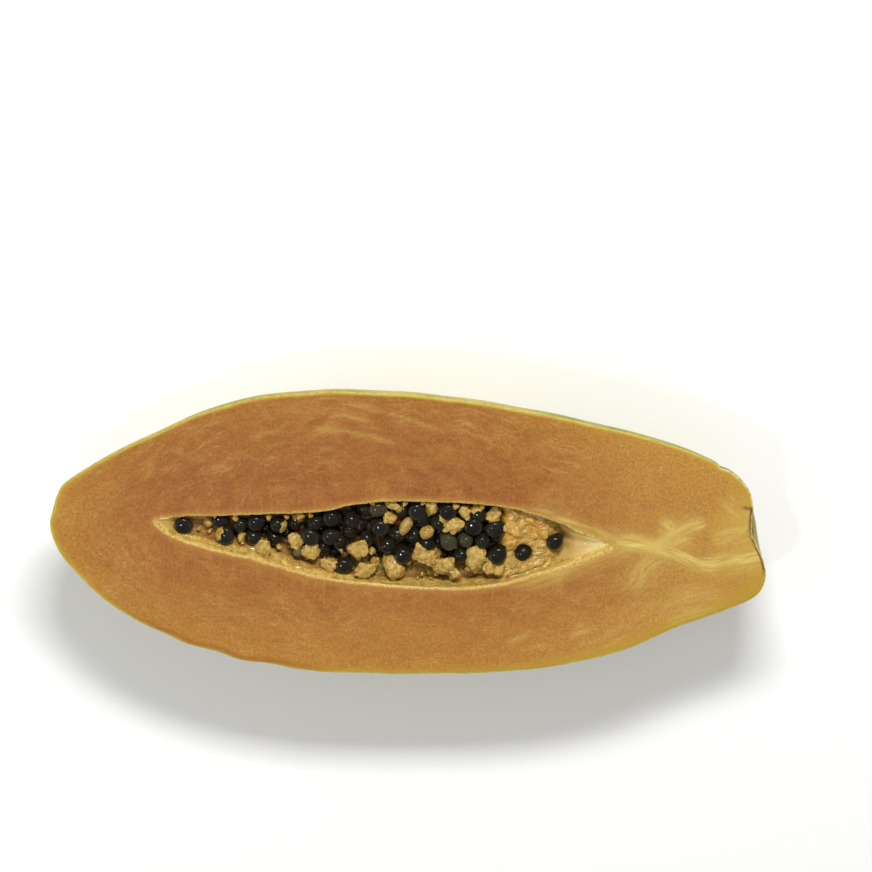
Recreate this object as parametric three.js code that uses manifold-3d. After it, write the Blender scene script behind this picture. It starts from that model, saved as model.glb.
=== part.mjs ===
// Half of a ripe papaya, cut lengthwise and laid on its rounded back with the cut face up.
// Millimetres. +X runs from the blossom tip to the stem scar, +Y across the cut face, +Z up.
// The origin lies on the small flat spot that the fruit rests on, straight under its centre of mass.
import * as THREE from "three";
import { mergeVertices } from "three/addons/utils/BufferGeometryUtils.js";
import Module from "manifold-3d";

const wasm = await Module();
wasm.setup();

// Driving dimensions
const FRUIT_LENGTH = 250;
const OUTLINE_LENGTH = 250; // the outline tables below are drawn at this length
const SCALE = FRUIT_LENGTH / OUTLINE_LENGTH;
const REST_ALONG = 125.6; // from the blossom tip to the point under the centre of mass
const REST_ABOVE = -5; // from the fruit's axis, across the cut face
const REST_SINK = 1.2; // how much of the round back the flat spot takes off

// The cut face's edge: along and height of its upper side, along and height of its lower side.
// Each row is one ring of the fruit, and the first and last rows are its two tips.
const RIM = [
  [0, 0, 0, 0],
  [1.2, 4.4, -1.1, -6.5],
  [3.6, 8.6, 1, -13.6],
  [12, 14.8, 6.5, -21.6],
  [25.5, 23, 19, -33],
  [39, 30, 35.4, -42.6],
  [53, 36.8, 56, -50],
  [68, 41.6, 75, -53.8],
  [87, 44.6, 92, -55.4],
  [108, 45.7, 110, -55.5],
  [136, 44.7, 138, -54.4],
  [165, 41.3, 165, -52],
  [193, 36.4, 189, -47],
  [214, 31.7, 206, -40.7],
  [228, 26.6, 220, -33.4],
  [236, 22.7, 236, -26.8],
  [241.5, 17.4, 246, -21.4],
  [243.6, 11.4, 249.2, -15.4],
  [243.4, 5.6, 248.4, -9],
  [244.3, 0, 244.3, 0],
];
const BACK_DEPTH = 0.98; // the back's depth as a share of each ring's half width
const BACK_LEAN = 0.1; // how much deeper that share is at the stem end than at the middle
const RIDGES = 5; // shallow ridges round a whole papaya
const RIDGE_MIDDLE = 0.008;
const RIDGE_STEM = 0.03;
const RIDGE_STEM_ROW = 13; // the row where the ridges start to grow towards the stem
const SCAR = { along: 246, height: -1.5, radius: 12.5, depth: 3.2, rise: 7 };

// The seed cavity's edge on the cut face, in the same form as RIM
const CAVITY = [
  [35.5, -3.5, 35.5, -3.5],
  [39, -2.2, 39.1, -6.9],
  [46, -1.6, 44.5, -9.5],
  [56, -0.9, 55, -12.2],
  [72, 0.3, 72.7, -15.8],
  [86, 1.3, 85, -19],
  [96.3, 2.9, 97.4, -21.4],
  [105, 5.3, 106, -22.1],
  [117, 7, 118, -22.8],
  [131, 7.4, 131, -23],
  [145, 7.5, 145, -22.6],
  [159, 6.4, 158, -20.2],
  [171.4, 3.4, 170.6, -15.8],
  [184, -0.6, 181, -11.8],
  [191, -3.2, 191, -7.6],
  [195.2, -5, 195.2, -5],
];
const CAVITY_DEPTH = 1.25;
const CAVITY_RIDGE = 0.05;
const CAVITY_LIP = 2; // how far the cutting solid stands above the cut face
const CLEARANCE = 0.35; // between the flesh and the seeds

const SEED_HALF = [3.4, 2.9, 2.8];
// The seeds that show: along, height, depth of the centre, size as a share of SEED_HALF
const SEEDS = [
  [58.2, -3.3, 4.6, 0.96],
  [60.1, -8.4, 4.2, 1.1],
  [65.4, -4.6, 4.8, 0.92],
  [70.8, -3.4, 4.4, 1.02],
  [69.6, -8.9, 5.6, 0.96],
  [78.3, -3.9, 4.8, 0.95],
  [76.9, -9.1, 6.4, 0.9],
  [84.1, -2.8, 6.4, 0.9],
  [91.5, -2.5, 4.8, 0.95],
  [89.6, -7.7, 4.2, 1.06],
  [97.1, -0.8, 4.4, 1.02],
  [96.9, -7.4, 4.4, 0.98],
  [100.3, -9.5, 6.6, 0.9],
  [94.5, -11.8, 7.2, 0.9],
  [103.8, -1.1, 5, 0.98],
  [103.2, -4.8, 6, 0.9],
  [108.4, 3.2, 6, 0.94],
  [113.1, 3.2, 4.4, 1],
  [113.7, -3.2, 4.4, 1.1],
  [109.4, -7.7, 6, 0.9],
  [117, -9.6, 5, 0.98],
  [119.9, -5.8, 6, 0.92],
  [121.9, 2.8, 6, 0.88],
  [126.8, 3.5, 4.4, 1.1],
  [128.7, 0.2, 5.6, 0.92],
  [134.6, -0.8, 4.6, 1],
  [137, 3.6, 4.4, 1.1],
  [148, 3.2, 4.6, 1.02],
  [146.2, -1.4, 4.4, 1.14],
  [154.6, -2, 4.4, 1.1],
  [126.1, -6.2, 6.4, 0.88],
  [122.3, -12.6, 4.8, 1.1],
  [130.3, -8.7, 5.8, 0.96],
  [138, -7.2, 4.6, 1.06],
  [143.8, -6.6, 5, 0.9],
  [149.9, -6.6, 5, 0.94],
  [142.9, -12, 6, 0.94],
  [155.6, -11.1, 4.6, 1.14],
];
const SEED_DRAW = 2026; // starts the draws of how the seeds are turned
const BED_FROM = 52; // the dense core of seeds under the ones that show
const BED_TO = 158;
const BED_TOP = 6.2; // its depth on the fruit's axis
const BED_SLOPE = 0.1; // how much deeper it lies for each millimetre towards the lower edge
// Seeds that lie apart from the rest: name, along, height, depth of the centre
const LOOSE_SEEDS = [
  ["seed_at_tip", 45.4, -5.6, 3.4],
  ["seed_on_wall", 102, -17.6, 4.4],
  ["seed_by_pulp", 164.5, -10.4, 6.2],
  ["seed_in_pocket", 175.4, -5.6, 4.6],
];

// Pulp lumps grow from the cavity wall: along, height, depth of the centre, size as a share of LUMP_HALF
const LUMP_HALF = 2.6;
const LUMPS = [
  [65.7, -9, 4.8, 0.6],
  [73.1, -12.1, 4, 1],
  [84.4, -9.3, 3.8, 1],
  [90.4, -13.4, 4, 1.08],
  [96.6, -17.1, 4.2, 0.9],
  [106.5, -10.9, 4, 1.12],
  [109.6, -18.8, 3.9, 1.2],
  [113.1, -16.4, 5.5, 0.75],
  [117.3, -15.3, 5, 0.8],
  [119.1, -18.1, 3.9, 1.25],
  [116.9, 0.1, 4, 0.85],
  [118.3, 5, 4.4, 0.95],
  [123, -2.3, 4, 1.12],
  [130.4, -4.3, 4, 1.12],
  [131.4, 4.2, 4, 0.95],
  [139.5, -0.5, 4, 1.1],
  [143.4, 3.5, 4, 1.05],
  [131.9, -13.7, 4.4, 1.5],
  [128, -11.6, 4.6, 1.05],
  [136.4, -16.1, 4.2, 1.35],
  [140.3, -18.6, 4.4, 0.9],
  [148.7, -13.5, 4.6, 1.5],
  [152.3, -15.5, 4.6, 1.1],
  [156.5, -16.2, 5, 1],
  [161, -15, 5, 1.1],
  [153.2, 3, 5, 1.2],
  [160.6, 3.2, 5.2, 1.2],
  [166, 1.6, 5.2, 1.2],
  [161.4, -2, 5.6, 1.45],
  [168, -2.6, 5.6, 1.35],
  [159.6, -6.8, 5.4, 1.15],
  [170.2, -10.6, 5.4, 1.05],
];
const STALK_RADIUS = 1.5;

// Mesh steps
const RIM_STEPS = 3;
const BACK_SIDES = 28;
const CAVITY_STEPS = 2;
const CAVITY_SIDES = 12;
const SEED_FACETS = [8, 5];
const LUMP_FACETS = [6, 4];
const STALK_SIDES = 5;

// A closed geometry as a solid that can be joined and cut
function solidOf(geometry) {
  const bare = geometry.index ? geometry.toNonIndexed() : geometry.clone();
  bare.deleteAttribute("normal");
  bare.deleteAttribute("uv");
  const merged = mergeVertices(bare, 1e-3);
  return new wasm.Manifold(
    new wasm.Mesh({
      numProp: 3,
      vertProperties: merged.attributes.position.array,
      triVerts: new Uint32Array(merged.index.array),
    }),
  );
}

// A solid as a geometry that a mesh can hold
function geometryOf(solid) {
  const mesh = solid.getMesh();
  const position = new Float32Array(mesh.numVert * 3);
  for (let i = 0; i < mesh.numVert; i++) {
    const from = i * mesh.numProp;
    position.set(mesh.vertProperties.subarray(from, from + 3), i * 3);
  }
  const geometry = new THREE.BufferGeometry();
  geometry.setAttribute("position", new THREE.BufferAttribute(position, 3));
  geometry.setIndex(new THREE.BufferAttribute(mesh.triVerts, 1));
  geometry.computeVertexNormals();
  return geometry;
}

// A repeatable run of numbers from 0 to 1
function draws(start) {
  let state = start;
  return () => {
    state = (Math.imul(state, 1664525) + 1013904223) >>> 0;
    return state / 4294967296;
  };
}

// The two sides of a table's edge at a row, whole or between rows, on one smooth closed curve
function edgeCurve(table) {
  const upper = table.map(([x, y]) => new THREE.Vector3(x * SCALE, y * SCALE, 0));
  const lower = table
    .slice(1, -1)
    .reverse()
    .map(([, , x, y]) => new THREE.Vector3(x * SCALE, y * SCALE, 0));
  const count = upper.length + lower.length;
  const curve = new THREE.CatmullRomCurve3([...upper, ...lower], true, "catmullrom", 0.5);
  return (row) => [curve.getPoint(row / count), curve.getPoint((1 - row / count) % 1)];
}

// One side of a table's edge at a distance along the fruit
function heightAt(table, along, side) {
  const column = side === "upper" ? 0 : 2;
  const next = table.findIndex((row) => row[column] * SCALE > along);
  if (next < 1) return table[0][1] * SCALE;
  const [a, b] = [table[next - 1], table[next]];
  const share = (along / SCALE - a[column]) / (b[column] - a[column]);
  return (a[column + 1] + (b[column + 1] - a[column + 1]) * share) * SCALE;
}

// A solid hung below the cut face from the edge in a table, ring by ring.
// place(upper, lower, turn, row) gives a ring's point, and lip raises the flat top.
function hungSolid(table, steps, sides, place, lip) {
  const edge = edgeCurve(table);
  const rings = (table.length - 1) * steps;
  const points = [];
  for (let i = 1; i < rings; i++) {
    const row = i / steps;
    const [upper, lower] = edge(row);
    const ring = [];
    for (let j = 0; j <= sides; j++) ring.push(place(upper, lower, (Math.PI * j) / sides, row));
    if (lip) {
      ring.unshift(ring[0].clone().setZ(lip));
      ring.push(ring[ring.length - 1].clone().setZ(lip));
    }
    points.push(ring);
  }
  const [start] = edge(0);
  const [end] = edge(table.length - 1);
  return closeRings(points, start, end, lip);
}

// Skins rings into a closed geometry with a tip at each end, or a short edge where there is a lip
function closeRings(rings, start, end, lip) {
  const tips = (tip) => (lip ? [tip.clone().setZ(lip), tip] : [tip]);
  const position = [];
  const triangle = (a, b, c) => {
    for (const p of [a, c, b]) position.push(p.x, p.y, p.z);
  };
  const count = rings[0].length;
  for (let i = 0; i + 1 < rings.length; i++)
    for (let j = 0; j < count; j++) {
      const k = (j + 1) % count;
      triangle(rings[i][j], rings[i][k], rings[i + 1][j]);
      triangle(rings[i][k], rings[i + 1][k], rings[i + 1][j]);
    }
  for (const [tip, ring, flip] of [
    [start, rings[0], true],
    [end, rings[rings.length - 1], false],
  ]) {
    const [top, low] = [tips(tip)[0], tips(tip).at(-1)];
    const add = (a, b, c) => (flip ? triangle(a, c, b) : triangle(a, b, c));
    for (let j = 0; j < count; j++) {
      const k = (j + 1) % count;
      const wall = lip && (j === 0 || j === count - 2);
      if (!wall) add(ring[j], ring[k], j === count - 1 ? top : low);
      else if (j === 0) {
        add(ring[j], ring[k], low);
        add(ring[j], low, top);
      } else {
        add(ring[j], ring[k], top);
        add(ring[j], top, low);
      }
    }
  }
  const geometry = new THREE.BufferGeometry();
  geometry.setAttribute("position", new THREE.Float32BufferAttribute(position, 3));
  return geometry;
}

// A ring's point on the fruit's back, with its shallow ridges and the dished stem scar
function backPoint(upper, lower, turn, row) {
  const centre = upper.clone().add(lower).multiplyScalar(0.5);
  const half = upper.clone().sub(lower).multiplyScalar(0.5);
  const grown = THREE.MathUtils.smoothstep(row, RIDGE_STEM_ROW, RIM.length - 3);
  const ridge = THREE.MathUtils.lerp(RIDGE_MIDDLE, RIDGE_STEM, grown);
  const swell = 1 + ridge * Math.sin(RIDGES * turn) * Math.sin(turn) ** 2;
  const lean = 1 + BACK_LEAN * ((2 * centre.x) / FRUIT_LENGTH - 1);
  const point = centre.addScaledVector(half, Math.cos(turn) * swell);
  point.z = -half.length() * BACK_DEPTH * lean * Math.sin(turn) * swell;
  if (point.x > (SCAR.along - SCAR.radius) * SCALE) {
    const away = Math.hypot(point.y - SCAR.height * SCALE, point.z) / (SCAR.radius * SCALE);
    const under = Math.min(1, -point.z / (SCAR.rise * SCALE));
    point.x -= SCAR.depth * SCALE * under * THREE.MathUtils.smoothstep(1 - away, 0, 0.5);
  }
  return point;
}

// A ring's point on the cavity wall, drawn in by a clearance where one is given
function cavityPoint(clearance) {
  return (upper, lower, turn) => {
    const centre = upper.clone().add(lower).multiplyScalar(0.5);
    const half = upper.clone().sub(lower).multiplyScalar(0.5);
    const width = half.length();
    half.multiplyScalar(Math.max(0.05, width - clearance) / width);
    const swell = 1 + CAVITY_RIDGE * Math.cos(RIDGES * turn * 2) * Math.sin(turn) ** 2;
    const point = centre.addScaledVector(half, Math.cos(turn) * swell);
    point.z = -Math.max(0.05, width * CAVITY_DEPTH - clearance) * Math.sin(turn) * swell;
    return point;
  };
}

// The depth of the cavity wall under a place on the cut face
function wallDepth(along, height) {
  const upper = heightAt(CAVITY, along, "upper");
  const lower = heightAt(CAVITY, along, "lower");
  const half = (upper - lower) / 2;
  const off = (height - (upper + lower) / 2) / half;
  return half * CAVITY_DEPTH * Math.sqrt(Math.max(0, 1 - off * off));
}

// The seeds that show, each turned its own way
function turnedSeeds() {
  const draw = draws(SEED_DRAW);
  return SEEDS.map(([along, height, depth, size]) => {
    const turn = [draw(), draw(), draw()].map((share) => share * Math.PI);
    return { along, height, depth, size, turn };
  });
}

// A seed, grown by a clearance where one is given
function seedSolid({ along, height, depth, size, turn = [0, 0, 0] }, clearance) {
  const geometry = new THREE.SphereGeometry(1, ...SEED_FACETS);
  geometry.scale(...SEED_HALF.map((half) => (half * size + clearance) * SCALE));
  geometry.rotateX(turn[0]);
  geometry.rotateY(turn[1] * 0.3);
  geometry.rotateZ(turn[2]);
  geometry.translate(along * SCALE, height * SCALE, -depth * SCALE);
  return solidOf(geometry);
}

// A knobbly lump with a stalk down into the flesh, grown by a clearance where one is given
function lumpSolid({ along, height, depth, size }, clearance) {
  const half = (LUMP_HALF * size + clearance) * SCALE;
  const head = new THREE.SphereGeometry(half, ...LUMP_FACETS);
  const places = head.attributes.position;
  for (let i = 0; i < places.count; i++) {
    const p = new THREE.Vector3().fromBufferAttribute(places, i);
    const knob = 1 + 0.12 * Math.sin(p.x * 2.1 + along) * Math.cos(p.y * 2.3 + height + p.z);
    p.multiplyScalar(knob);
    places.setXYZ(i, p.x, p.y, p.z * 0.85);
  }
  head.translate(along * SCALE, height * SCALE, -depth * SCALE);
  const root = wallDepth(along, height) + 3;
  const length = Math.max(1, root - depth);
  const radius = (STALK_RADIUS + clearance) * SCALE;
  const stalk = new THREE.CylinderGeometry(radius, radius, length, STALK_SIDES);
  stalk.rotateX(Math.PI / 2);
  stalk.translate(along * SCALE, height * SCALE, (-depth - length / 2) * SCALE);
  return solidOf(head).add(solidOf(stalk));
}

function joined(solids) {
  return wasm.Manifold.union(solids);
}

// The largest body of a solid, with any sealed hollow filled and any scrap dropped
function wholeBody(solid) {
  return solid.decompose().reduce((a, b) => (a.volume() > b.volume() ? a : b));
}

function cavitySolid(clearance, lip) {
  const place = cavityPoint(clearance);
  return solidOf(hungSolid(CAVITY, CAVITY_STEPS, CAVITY_SIDES, place, lip));
}

// A box that takes the round back off flat at the resting height
function restCutter(depth) {
  const side = FRUIT_LENGTH;
  const box = new THREE.BoxGeometry(side * 2, side * 2, side);
  box.translate(side / 2, 0, -depth - side / 2);
  return solidOf(box);
}

function papayaHalf(back, restDepth, lumps) {
  const roots = joined(lumps.map((lump) => lumpSolid(lump, 0)));
  const hollow = back.subtract(cavitySolid(0, CAVITY_LIP));
  return wholeBody(hollow.add(roots.intersect(back)).subtract(restCutter(restDepth)));
}

function seedMass(seeds, room) {
  const bed = cavitySolid(CLEARANCE * 2, 0).subtract(bedLid());
  const packed = joined([bed, ...seeds.map((seed) => seedSolid(seed, 0))]);
  return wholeBody(packed.intersect(cavitySolid(CLEARANCE, 0)).subtract(room));
}

// What lies over the core of the seeds and past their two ends
function bedLid() {
  const lid = new THREE.BoxGeometry(FRUIT_LENGTH * 2, FRUIT_LENGTH, BED_TOP * 2);
  lid.rotateX(Math.atan(BED_SLOPE));
  const parts = [solidOf(lid)];
  for (const [along, direction] of [
    [BED_FROM, -1],
    [BED_TO, 1],
  ]) {
    const end = new THREE.BoxGeometry(FRUIT_LENGTH, FRUIT_LENGTH, FRUIT_LENGTH);
    end.translate(along + (direction * FRUIT_LENGTH) / 2, 0, 0);
    parts.push(solidOf(end));
  }
  return joined(parts);
}

const skin = new THREE.MeshStandardMaterial({ color: 0xb9883f, roughness: 0.55 });
const seedCoat = new THREE.MeshStandardMaterial({ color: 0x24221c, roughness: 0.2 });

const papaya = new THREE.Group();
const backGeometry = hungSolid(RIM, RIM_STEPS, BACK_SIDES, backPoint, 0);
backGeometry.computeBoundingBox();
const restDepth = -backGeometry.boundingBox.min.z - REST_SINK * SCALE;

const pulp = LUMPS.map(([along, height, depth, size]) => ({ along, height, depth, size }));
const pulpRoom = joined(pulp.map((lump) => lumpSolid(lump, CLEARANCE)));
const loose = LOOSE_SEEDS.map(([name, along, height, depth]) => ({ name, along, height, depth, size: 1 }));
const looseRoom = joined(loose.map((seed) => seedSolid(seed, CLEARANCE)));

function addPiece(name, solid, material) {
  const piece = new THREE.Mesh(geometryOf(solid), material);
  piece.name = name;
  piece.position.set(-REST_ALONG * SCALE, -REST_ABOVE * SCALE, restDepth);
  papaya.add(piece);
}

addPiece("papaya_half", papayaHalf(solidOf(backGeometry), restDepth, pulp), skin);
addPiece("seed_mass", seedMass(turnedSeeds(), pulpRoom.add(looseRoom)), seedCoat);
for (const seed of loose) {
  const whole = seedSolid(seed, 0);
  const clear = wholeBody(whole.intersect(cavitySolid(CLEARANCE, 0)).subtract(pulpRoom));
  addPiece(seed.name, clear, seedCoat);
}

export default papaya;
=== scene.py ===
# Half of a long ripe papaya, cut lengthwise and laid on its rounded back with the cut face up.
# Metres. +X runs from the blossom tip to the stem scar, +Y across the cut face, +Z up.
import math

import bpy
import numpy as np
from mathutils import Matrix, Vector, noise


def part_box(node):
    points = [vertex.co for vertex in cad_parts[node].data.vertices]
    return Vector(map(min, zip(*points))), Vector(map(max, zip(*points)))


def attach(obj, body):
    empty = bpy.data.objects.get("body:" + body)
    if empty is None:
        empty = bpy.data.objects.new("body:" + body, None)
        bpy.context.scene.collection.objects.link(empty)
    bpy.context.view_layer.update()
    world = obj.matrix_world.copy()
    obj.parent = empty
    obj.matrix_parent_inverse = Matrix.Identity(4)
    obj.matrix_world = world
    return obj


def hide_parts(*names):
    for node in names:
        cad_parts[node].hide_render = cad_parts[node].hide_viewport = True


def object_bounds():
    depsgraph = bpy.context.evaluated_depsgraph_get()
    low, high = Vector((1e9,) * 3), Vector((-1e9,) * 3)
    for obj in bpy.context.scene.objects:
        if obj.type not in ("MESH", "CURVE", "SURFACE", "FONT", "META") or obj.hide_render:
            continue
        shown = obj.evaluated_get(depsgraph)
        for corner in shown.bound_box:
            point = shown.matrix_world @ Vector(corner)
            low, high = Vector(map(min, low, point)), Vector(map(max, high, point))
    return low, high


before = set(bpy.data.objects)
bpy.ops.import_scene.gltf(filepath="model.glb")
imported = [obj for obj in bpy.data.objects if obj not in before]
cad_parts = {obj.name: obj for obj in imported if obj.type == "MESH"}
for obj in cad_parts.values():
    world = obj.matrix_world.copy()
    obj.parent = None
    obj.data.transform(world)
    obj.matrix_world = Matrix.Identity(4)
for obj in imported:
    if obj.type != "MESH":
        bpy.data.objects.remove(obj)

cad_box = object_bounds()
bpy.ops.object.select_all(action="DESELECT")

MM = 0.001
CUT_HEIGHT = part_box("papaya_half")[1].z / MM  # the cut face above the floor, in millimetres

# The fruit's own measures, in millimetres, as its solids have them
REST_ALONG = 125.6
REST_ABOVE = -5
RIM = [
    [0, 0, 0, 0], [1.2, 4.4, -1.1, -6.5], [3.6, 8.6, 1, -13.6], [12, 14.8, 6.5, -21.6],
    [25.5, 23, 19, -33], [39, 30, 35.4, -42.6], [53, 36.8, 56, -50], [68, 41.6, 75, -53.8],
    [87, 44.6, 92, -55.4], [108, 45.7, 110, -55.5], [136, 44.7, 138, -54.4], [165, 41.3, 165, -52],
    [193, 36.4, 189, -47], [214, 31.7, 206, -40.7], [228, 26.6, 220, -33.4], [236, 22.7, 236, -26.8],
    [241.5, 17.4, 246, -21.4], [243.6, 11.4, 249.2, -15.4], [243.4, 5.6, 248.4, -9],
    [244.3, 0, 244.3, 0],
]
FRUIT_LENGTH = 250
BACK_DEPTH = 0.98
BACK_LEAN = 0.1
RIDGES = 5
RIDGE_MIDDLE = 0.008
RIDGE_STEM = 0.03
RIDGE_STEM_ROW = 13
SCAR_ALONG, SCAR_HEIGHT, SCAR_RADIUS, SCAR_DEPTH, SCAR_RISE = 246, -1.5, 12.5, 3.2, 7
CAVITY = [
    [35.5, -3.5, 35.5, -3.5], [39, -2.2, 39.1, -6.9], [46, -1.6, 44.5, -9.5], [56, -0.9, 55, -12.2],
    [72, 0.3, 72.7, -15.8], [86, 1.3, 85, -19], [96.3, 2.9, 97.4, -21.4], [105, 5.3, 106, -22.1],
    [117, 7, 118, -22.8], [131, 7.4, 131, -23], [145, 7.5, 145, -22.6], [159, 6.4, 158, -20.2],
    [171.4, 3.4, 170.6, -15.8], [184, -0.6, 181, -11.8], [191, -3.2, 191, -7.6], [195.2, -5, 195.2, -5],
]
CAVITY_DEPTH = 1.25
CAVITY_RIDGE = 0.05

SEED_HALF = (3.4, 2.9, 2.8)
# Strength of the painted glow round each seed's rim
PAINTED_RIM_GLOW = 0.36
UNDER_DROP = 1.6
# The seeds that show: along, height, depth of the centre, size as a share of SEED_HALF
SEEDS = [
    [58.2, -3.3, 4.6, 0.96], [60.1, -8.4, 4.2, 1.1], [65.4, -4.6, 4.8, 0.92], [70.8, -3.4, 4.4, 1.02],
    [69.6, -8.9, 5.6, 0.96], [78.3, -3.9, 4.8, 0.95], [76.9, -9.1, 6.4, 0.9], [84.1, -2.8, 6.4, 0.9],
    [91.5, -2.5, 4.8, 0.95], [89.6, -7.7, 4.2, 1.06], [97.1, -0.8, 4.4, 1.02], [96.9, -7.4, 4.4, 0.98],
    [100.3, -9.5, 6.6, 0.9], [94.5, -11.8, 7.2, 0.9], [103.8, -1.1, 5, 0.98], [103.2, -4.8, 6, 0.9],
    [108.4, 3.2, 6, 0.94], [113.1, 3.2, 4.4, 1], [113.7, -3.2, 4.4, 1.1], [109.4, -7.7, 6, 0.9],
    [117, -9.6, 5, 0.98], [119.9, -5.8, 6, 0.92], [121.9, 2.8, 6, 0.88], [126.8, 3.5, 4.4, 1.1],
    [128.7, 0.2, 5.6, 0.92], [134.6, -0.8, 4.6, 1], [137, 3.6, 4.4, 1.1], [148, 3.2, 4.6, 1.02],
    [146.2, -1.4, 4.4, 1.14], [154.6, -2, 4.4, 1.1], [126.1, -6.2, 6.4, 0.88], [122.3, -12.6, 4.8, 1.1],
    [130.3, -8.7, 5.8, 0.96], [138, -7.2, 4.6, 1.06], [143.8, -6.6, 5, 0.9], [149.9, -6.6, 5, 0.94],
    [142.9, -12, 6, 0.94], [155.6, -11.1, 4.6, 1.14],
]
SEED_DRAW, TONE_DRAW, CRUMB_DRAW = 2026, 41, 9  # where each run of random numbers starts
PALE_SEEDS = (17, 33, 34)  # greyer than the rest, with less ripe cores
LOOSE_SEEDS = [
    ("seed_at_tip", 45.4, -5.6, 3.4),
    ("seed_on_wall", 102, -17.6, 4.4),
    ("seed_by_pulp", 164.5, -10.4, 6.2),
    ("seed_in_pocket", 175.4, -5.6, 4.6),
]
EMPTY_SEED = (85.7, -13, 3.4, 0.58)  # a small grey seed that never filled
# Seeds that lie under the gaps: along, height, depth
UNDER_SEEDS = [
    (81.2, -7.4, 9), (87, -4.6, 10), (73.8, -6.2, 8.6), (93.6, -5.2, 9), (100.6, -2.6, 9.4),
    (106.4, 0.6, 8.6), (98.6, -13.6, 9.4), (106.6, -5.2, 9.6), (117.6, -2.6, 9.4), (124, -8.6, 10),
    (127, -3.6, 9.8), (133.4, 3.8, 9), (141.6, 1.6, 9), (135.2, -5.2, 9.6), (141, -4, 9.6),
    (150.8, 0.6, 9), (151.6, -9.6, 9.6), (138.4, -11.6, 10), (114, -12.6, 10), (147.2, -9.8, 9.8),
    (88, -11, 9.6), (64.6, -7.6, 8),
]
# Shells of dried jelly that curl round a seed: seed's number, turn in plan
SHELLS = [(5, -0.3), (27, 1.9), (1, 2.8), (25, 0.6), (7, 1.1), (22, 2.4)]

LUMP_HALF = 2.6
# Pulp lumps: along, height, depth of the centre, size as a share of LUMP_HALF
LUMPS = [
    [65.7, -9, 4.6, 0.7], [73.1, -12.1, 4, 1], [84.4, -9.3, 3.8, 1], [90.4, -13.4, 4, 1.08],
    [96.6, -17.1, 4.2, 0.9], [106.5, -10.9, 4, 1.12], [109.6, -18.8, 3.9, 1.2],
    [113.1, -16.4, 5.5, 0.75], [117.3, -15.3, 5, 0.8], [119.1, -18.1, 3.9, 1.25], [116.9, 0.1, 4, 0.85],
    [118.3, 5, 4.4, 0.95], [123, -2.3, 4, 1.12], [130.4, -4.3, 4, 1.12], [131.4, 4.2, 4, 0.95],
    [139.5, -0.5, 4, 1.1], [143.4, 3.5, 4, 1.05], [131.9, -13.7, 4.4, 1.5], [128, -11.6, 4.6, 1.05],
    [136.4, -16.1, 4.2, 1.35], [140.3, -18.6, 4.4, 0.9], [148.7, -13.5, 4.6, 1.5],
    [152.3, -15.5, 4.6, 1.1], [156.5, -16.2, 5, 1], [161, -15, 5, 1.1], [153.2, 3, 5, 1.2],
    [160.6, 3.2, 5.2, 1.2], [166, 1.6, 5.2, 1.2], [161.4, -2, 5.6, 1.45], [168, -2.6, 5.6, 1.35],
    [159.6, -6.8, 5.4, 1.15], [170.2, -10.6, 5.4, 1.05],
]
# Small crumbs of the same pulp that lie on or between the seeds: along, height, depth, half size
CRUMBS = [
    (53.4, -4.4, 5.2, 1.5), (50.6, -6.8, 4.6, 0.9), (54.6, -7.4, 5.4, 0.9), (56.4, -1.9, 3.6, 0.9),
    (63.6, -1.9, 2.9, 1), (74.8, -1, 3, 0.9), (81.2, -0.6, 3.2, 0.9), (86.4, -0.2, 3, 1.3),
    (89.8, 0.2, 3.2, 0.8), (66.2, -11.2, 4.4, 0.7), (79.2, -12.2, 4.8, 1), (100.6, -12.6, 6, 1),
    (111.4, -12.2, 6.2, 1.2), (124.6, -15.6, 5.6, 1), (145.6, -16.8, 5, 1.1), (111, 6, 3, 0.9),
    (122.2, 6.3, 2.8, 1.1), (128.4, 6.4, 2.8, 0.9), (140.4, 5.9, 3, 1.2), (149.4, 6, 3, 1),
]
ROUND_LUMPS = (12, 13)  # smooth balls of pulp, where the rest are torn chunks
LOOSE_CRUMBS = 26  # strewn along the cavity's lower side
SHELL_RADIUS = 3.35
# The bed of torn membrane: its ends, its mesh, its depth at mid height and the mound's
BED_FROM, BED_TO = 40, 179
BED_COLUMNS, BED_ROWS = 420, 96
BED_DEPTH, BED_SLOPE, MOUND_DEPTH = 8.6, 0.1, 4.4
# Seeds and lumps keep this far below the cut face, and what is higher keeps this share of its rise
PRESS_BELOW, PRESS_SHARE = 2.2, 0.35

# Relief of the cut, in millimetres below the cut plane
FACE_DROP = 0.2  # the knife's face between its small rises
RIM_DROP = 0.5  # the peel's rounded outer edge
LIP_DROP = 0.55  # the lining's rounded edge

# The loose fold of lining below the seeds
FOLD = [(66, -11.4), (74, -13.2), (84, -17), (93, -19.6)]

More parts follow.
